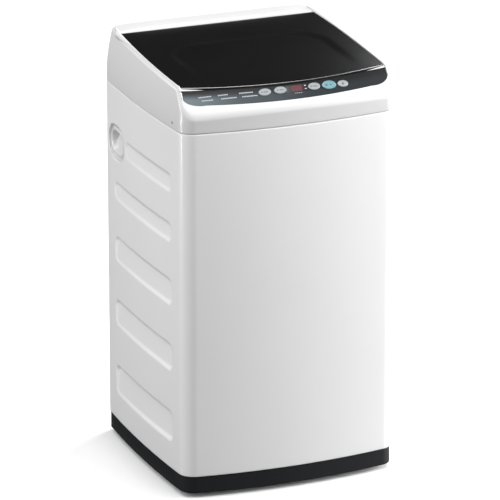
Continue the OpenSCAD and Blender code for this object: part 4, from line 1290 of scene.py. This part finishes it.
def make_springs(mats):
    """Four coils round the rods."""
    turns = 7
    steps = np.linspace(0, 1, turns * 24 + 1)
    angle = TAU * turns * steps
    low, high = SPRING_Z[0] + SPRING_WIRE, SPRING_Z[1] - SPRING_WIRE
    coils = []
    for side_x_sign in (-1, 1):
        for side_y_sign in (-1, 1):
            path = np.column_stack(
                [
                    side_x_sign * SPRING_PLACE[0] + SPRING_R * np.cos(angle),
                    side_y_sign * SPRING_PLACE[1] + SPRING_R * np.sin(angle),
                    low + (high - low) * steps,
                ]
            )
            coils.append(tube("coil", path, SPRING_WIRE, mats["spring_steel"], sides=8))
    springs = join("spring_coils", coils)
    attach(springs, "cabinet_assembly")
    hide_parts("suspension_springs")
    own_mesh(springs)


def hose_path(corners, turn):
    """Points a millimetre apart along straight legs whose corners are rounded over turn points."""
    corners = np.asarray(corners, float)
    legs = []
    for a, b in zip(corners[:-1], corners[1:]):
        legs.append(np.linspace(a, b, int(np.linalg.norm(b - a)), endpoint=False))
    path = np.vstack(legs + [corners[-1:]])
    path = np.pad(path, ((turn, turn), (0, 0)), mode="reflect", reflect_type="odd")
    kernel = np.full(2 * turn + 1, 1 / (2 * turn + 1))
    return np.column_stack([np.convolve(path[:, k], kernel, "valid") for k in range(3)])


def make_hoses(mats):
    """Corrugated drain hose with rounded bends and a plain pressure hose, between the tub and the cabinet."""
    low, high = (np.array(corner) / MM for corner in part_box("drain_hose"))
    radius = DRAIN_HOSE_R
    x, y, z = low + radius
    corners = [(x, high[1], z), (x, y, z), (x, y, high[2] - radius), (high[0], y, high[2] - radius)]
    path = hose_path(corners, 16)
    ribs = radius - 0.6 + 0.6 * np.cos(TAU * np.arange(len(path)) / HOSE_RIB)
    drain = tube("drain_hose_ribbed", path, ribs, mats["hose_rubber"], sides=24)
    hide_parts("drain_hose")
    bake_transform(drain)
    low, high = (np.array(corner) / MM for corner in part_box("pressure_hose"))
    middle = (low + high) / 2
    path = np.column_stack([np.full(61, middle[0]), np.full(61, middle[1]), np.linspace(high[2], low[2], 61)])
    air = tube("pressure_hose_soft", path, (high[0] - low[0]) / 2, mats["hose_rubber"], sides=16)
    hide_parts("pressure_hose")
    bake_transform(air)


# ------------------------------------------------------------------ CAD nodes that keep their shape
# Node: its finish and the width of its rounded edges
CARRIED = {
    "rear_panel": ("galvanised_sheet", 0.3),
    "bottom_guard": ("seat_plastic", 0.5),
    "rear_feet": ("foot_rubber", 1.2),
    "foot_front_left": ("foot_rubber", 1.2),
    "foot_front_right": ("foot_rubber", 1.2),
    "side_plugs": ("plug_grey", 0.4),
    "indicator_lights": ("indicator_pale", 0.2),
    "control_board": ("circuit_green", 0.2),
    "lid_hinge_pins": ("zinc_steel", 0.4),
    "lid_magnet": ("zinc_steel", 0.4),
    "lid_switch": ("seat_plastic", 0.6),
    "dispenser_housing": ("drawer_white", 1.0),
    "detergent_drawer": ("drawer_white", 0.9),
    "inlet_valve": ("ivory_plastic", 0.6),
    "fill_pipe": ("ivory_plastic", 0.6),
    "water_level_sensor": ("ivory_plastic", 1.0),
    "cord_gland": ("seat_plastic", 0.6),
    "motor_capacitor": ("aluminium_can", 0.8),
    "drain_outlet": ("plug_grey", 0.8),
    "corner_brackets": ("zinc_steel", 0.4),
    "suspension_rods": ("zinc_steel", 0.5),
    "spring_seats": ("seat_plastic", 0.7),
    "spring_caps": ("seat_plastic", 0.7),
    "outer_tub": ("tub_plastic", 1.0),
    "tub_ring": ("tub_plastic", 1.0),
    "tub_seal": ("hose_rubber", 1.0),
    "mounting_bracket": ("zinc_steel", 0.8),
    "gear_case": ("cast_alloy", 1.0),
    "motor": ("motor_grey", 1.2),
    "drive_belt": ("hose_rubber", 0.5),
    "drain_valve": ("ivory_plastic", 1.0),
    "drain_actuator": ("ivory_plastic", 1.0),
    "balance_ring": ("basket_plastic", 1.4),
    "basket_base": ("basket_plastic", 1.0),
    "lint_filters": ("basket_plastic", 0.8),
    "pulsator": ("pulsator_plastic", 1.4),
    "pulsator_cap": ("basket_plastic", 1.2),
    "clutch_pulley": ("cast_alloy", 0.5),
    "motor_pulley": ("cast_alloy", 0.4),
}


def dress_carried(frame, mats):
    """Finishes and rounded edges on the CAD nodes that no other piece stands for."""
    for name, (finish, width) in CARRIED.items():
        node = frame["nodes"][name]
        node.data.materials.clear()
        node.data.materials.append(mats[finish])
        node.data.shade_smooth()
        weld = node.modifiers.new("weld", "WELD")
        weld.merge_threshold = 0.02 * MM
        bevelled(node, width).harden_normals = True
        level_normals = node.modifiers.new("normals", "WEIGHTED_NORMAL")
        level_normals.keep_sharp = True


def main():
    """The whole machine and its studio."""
    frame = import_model()
    mats = make_materials()
    make_camera()
    cabinet = make_cabinet(mats)
    static = [make_grip(mats, -1), make_grip(mats, 1), make_base(mats), make_cover(mats), make_pocket(mats)]
    static += [make_fascia(mats), make_display(mats), make_panel_marks(mats), make_rear_screws(mats)]
    for name in BUTTON_X:
        make_button(mats, name)
    make_lid(mats)
    make_lid_frame(mats)
    make_lid_trim(mats)
    make_basket(mats)
    make_springs(mats)
    make_hoses(mats)
    dress_carried(frame, mats)
    for piece in static + [cabinet]:
        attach(piece, "cabinet_assembly")
    make_studio()


main()
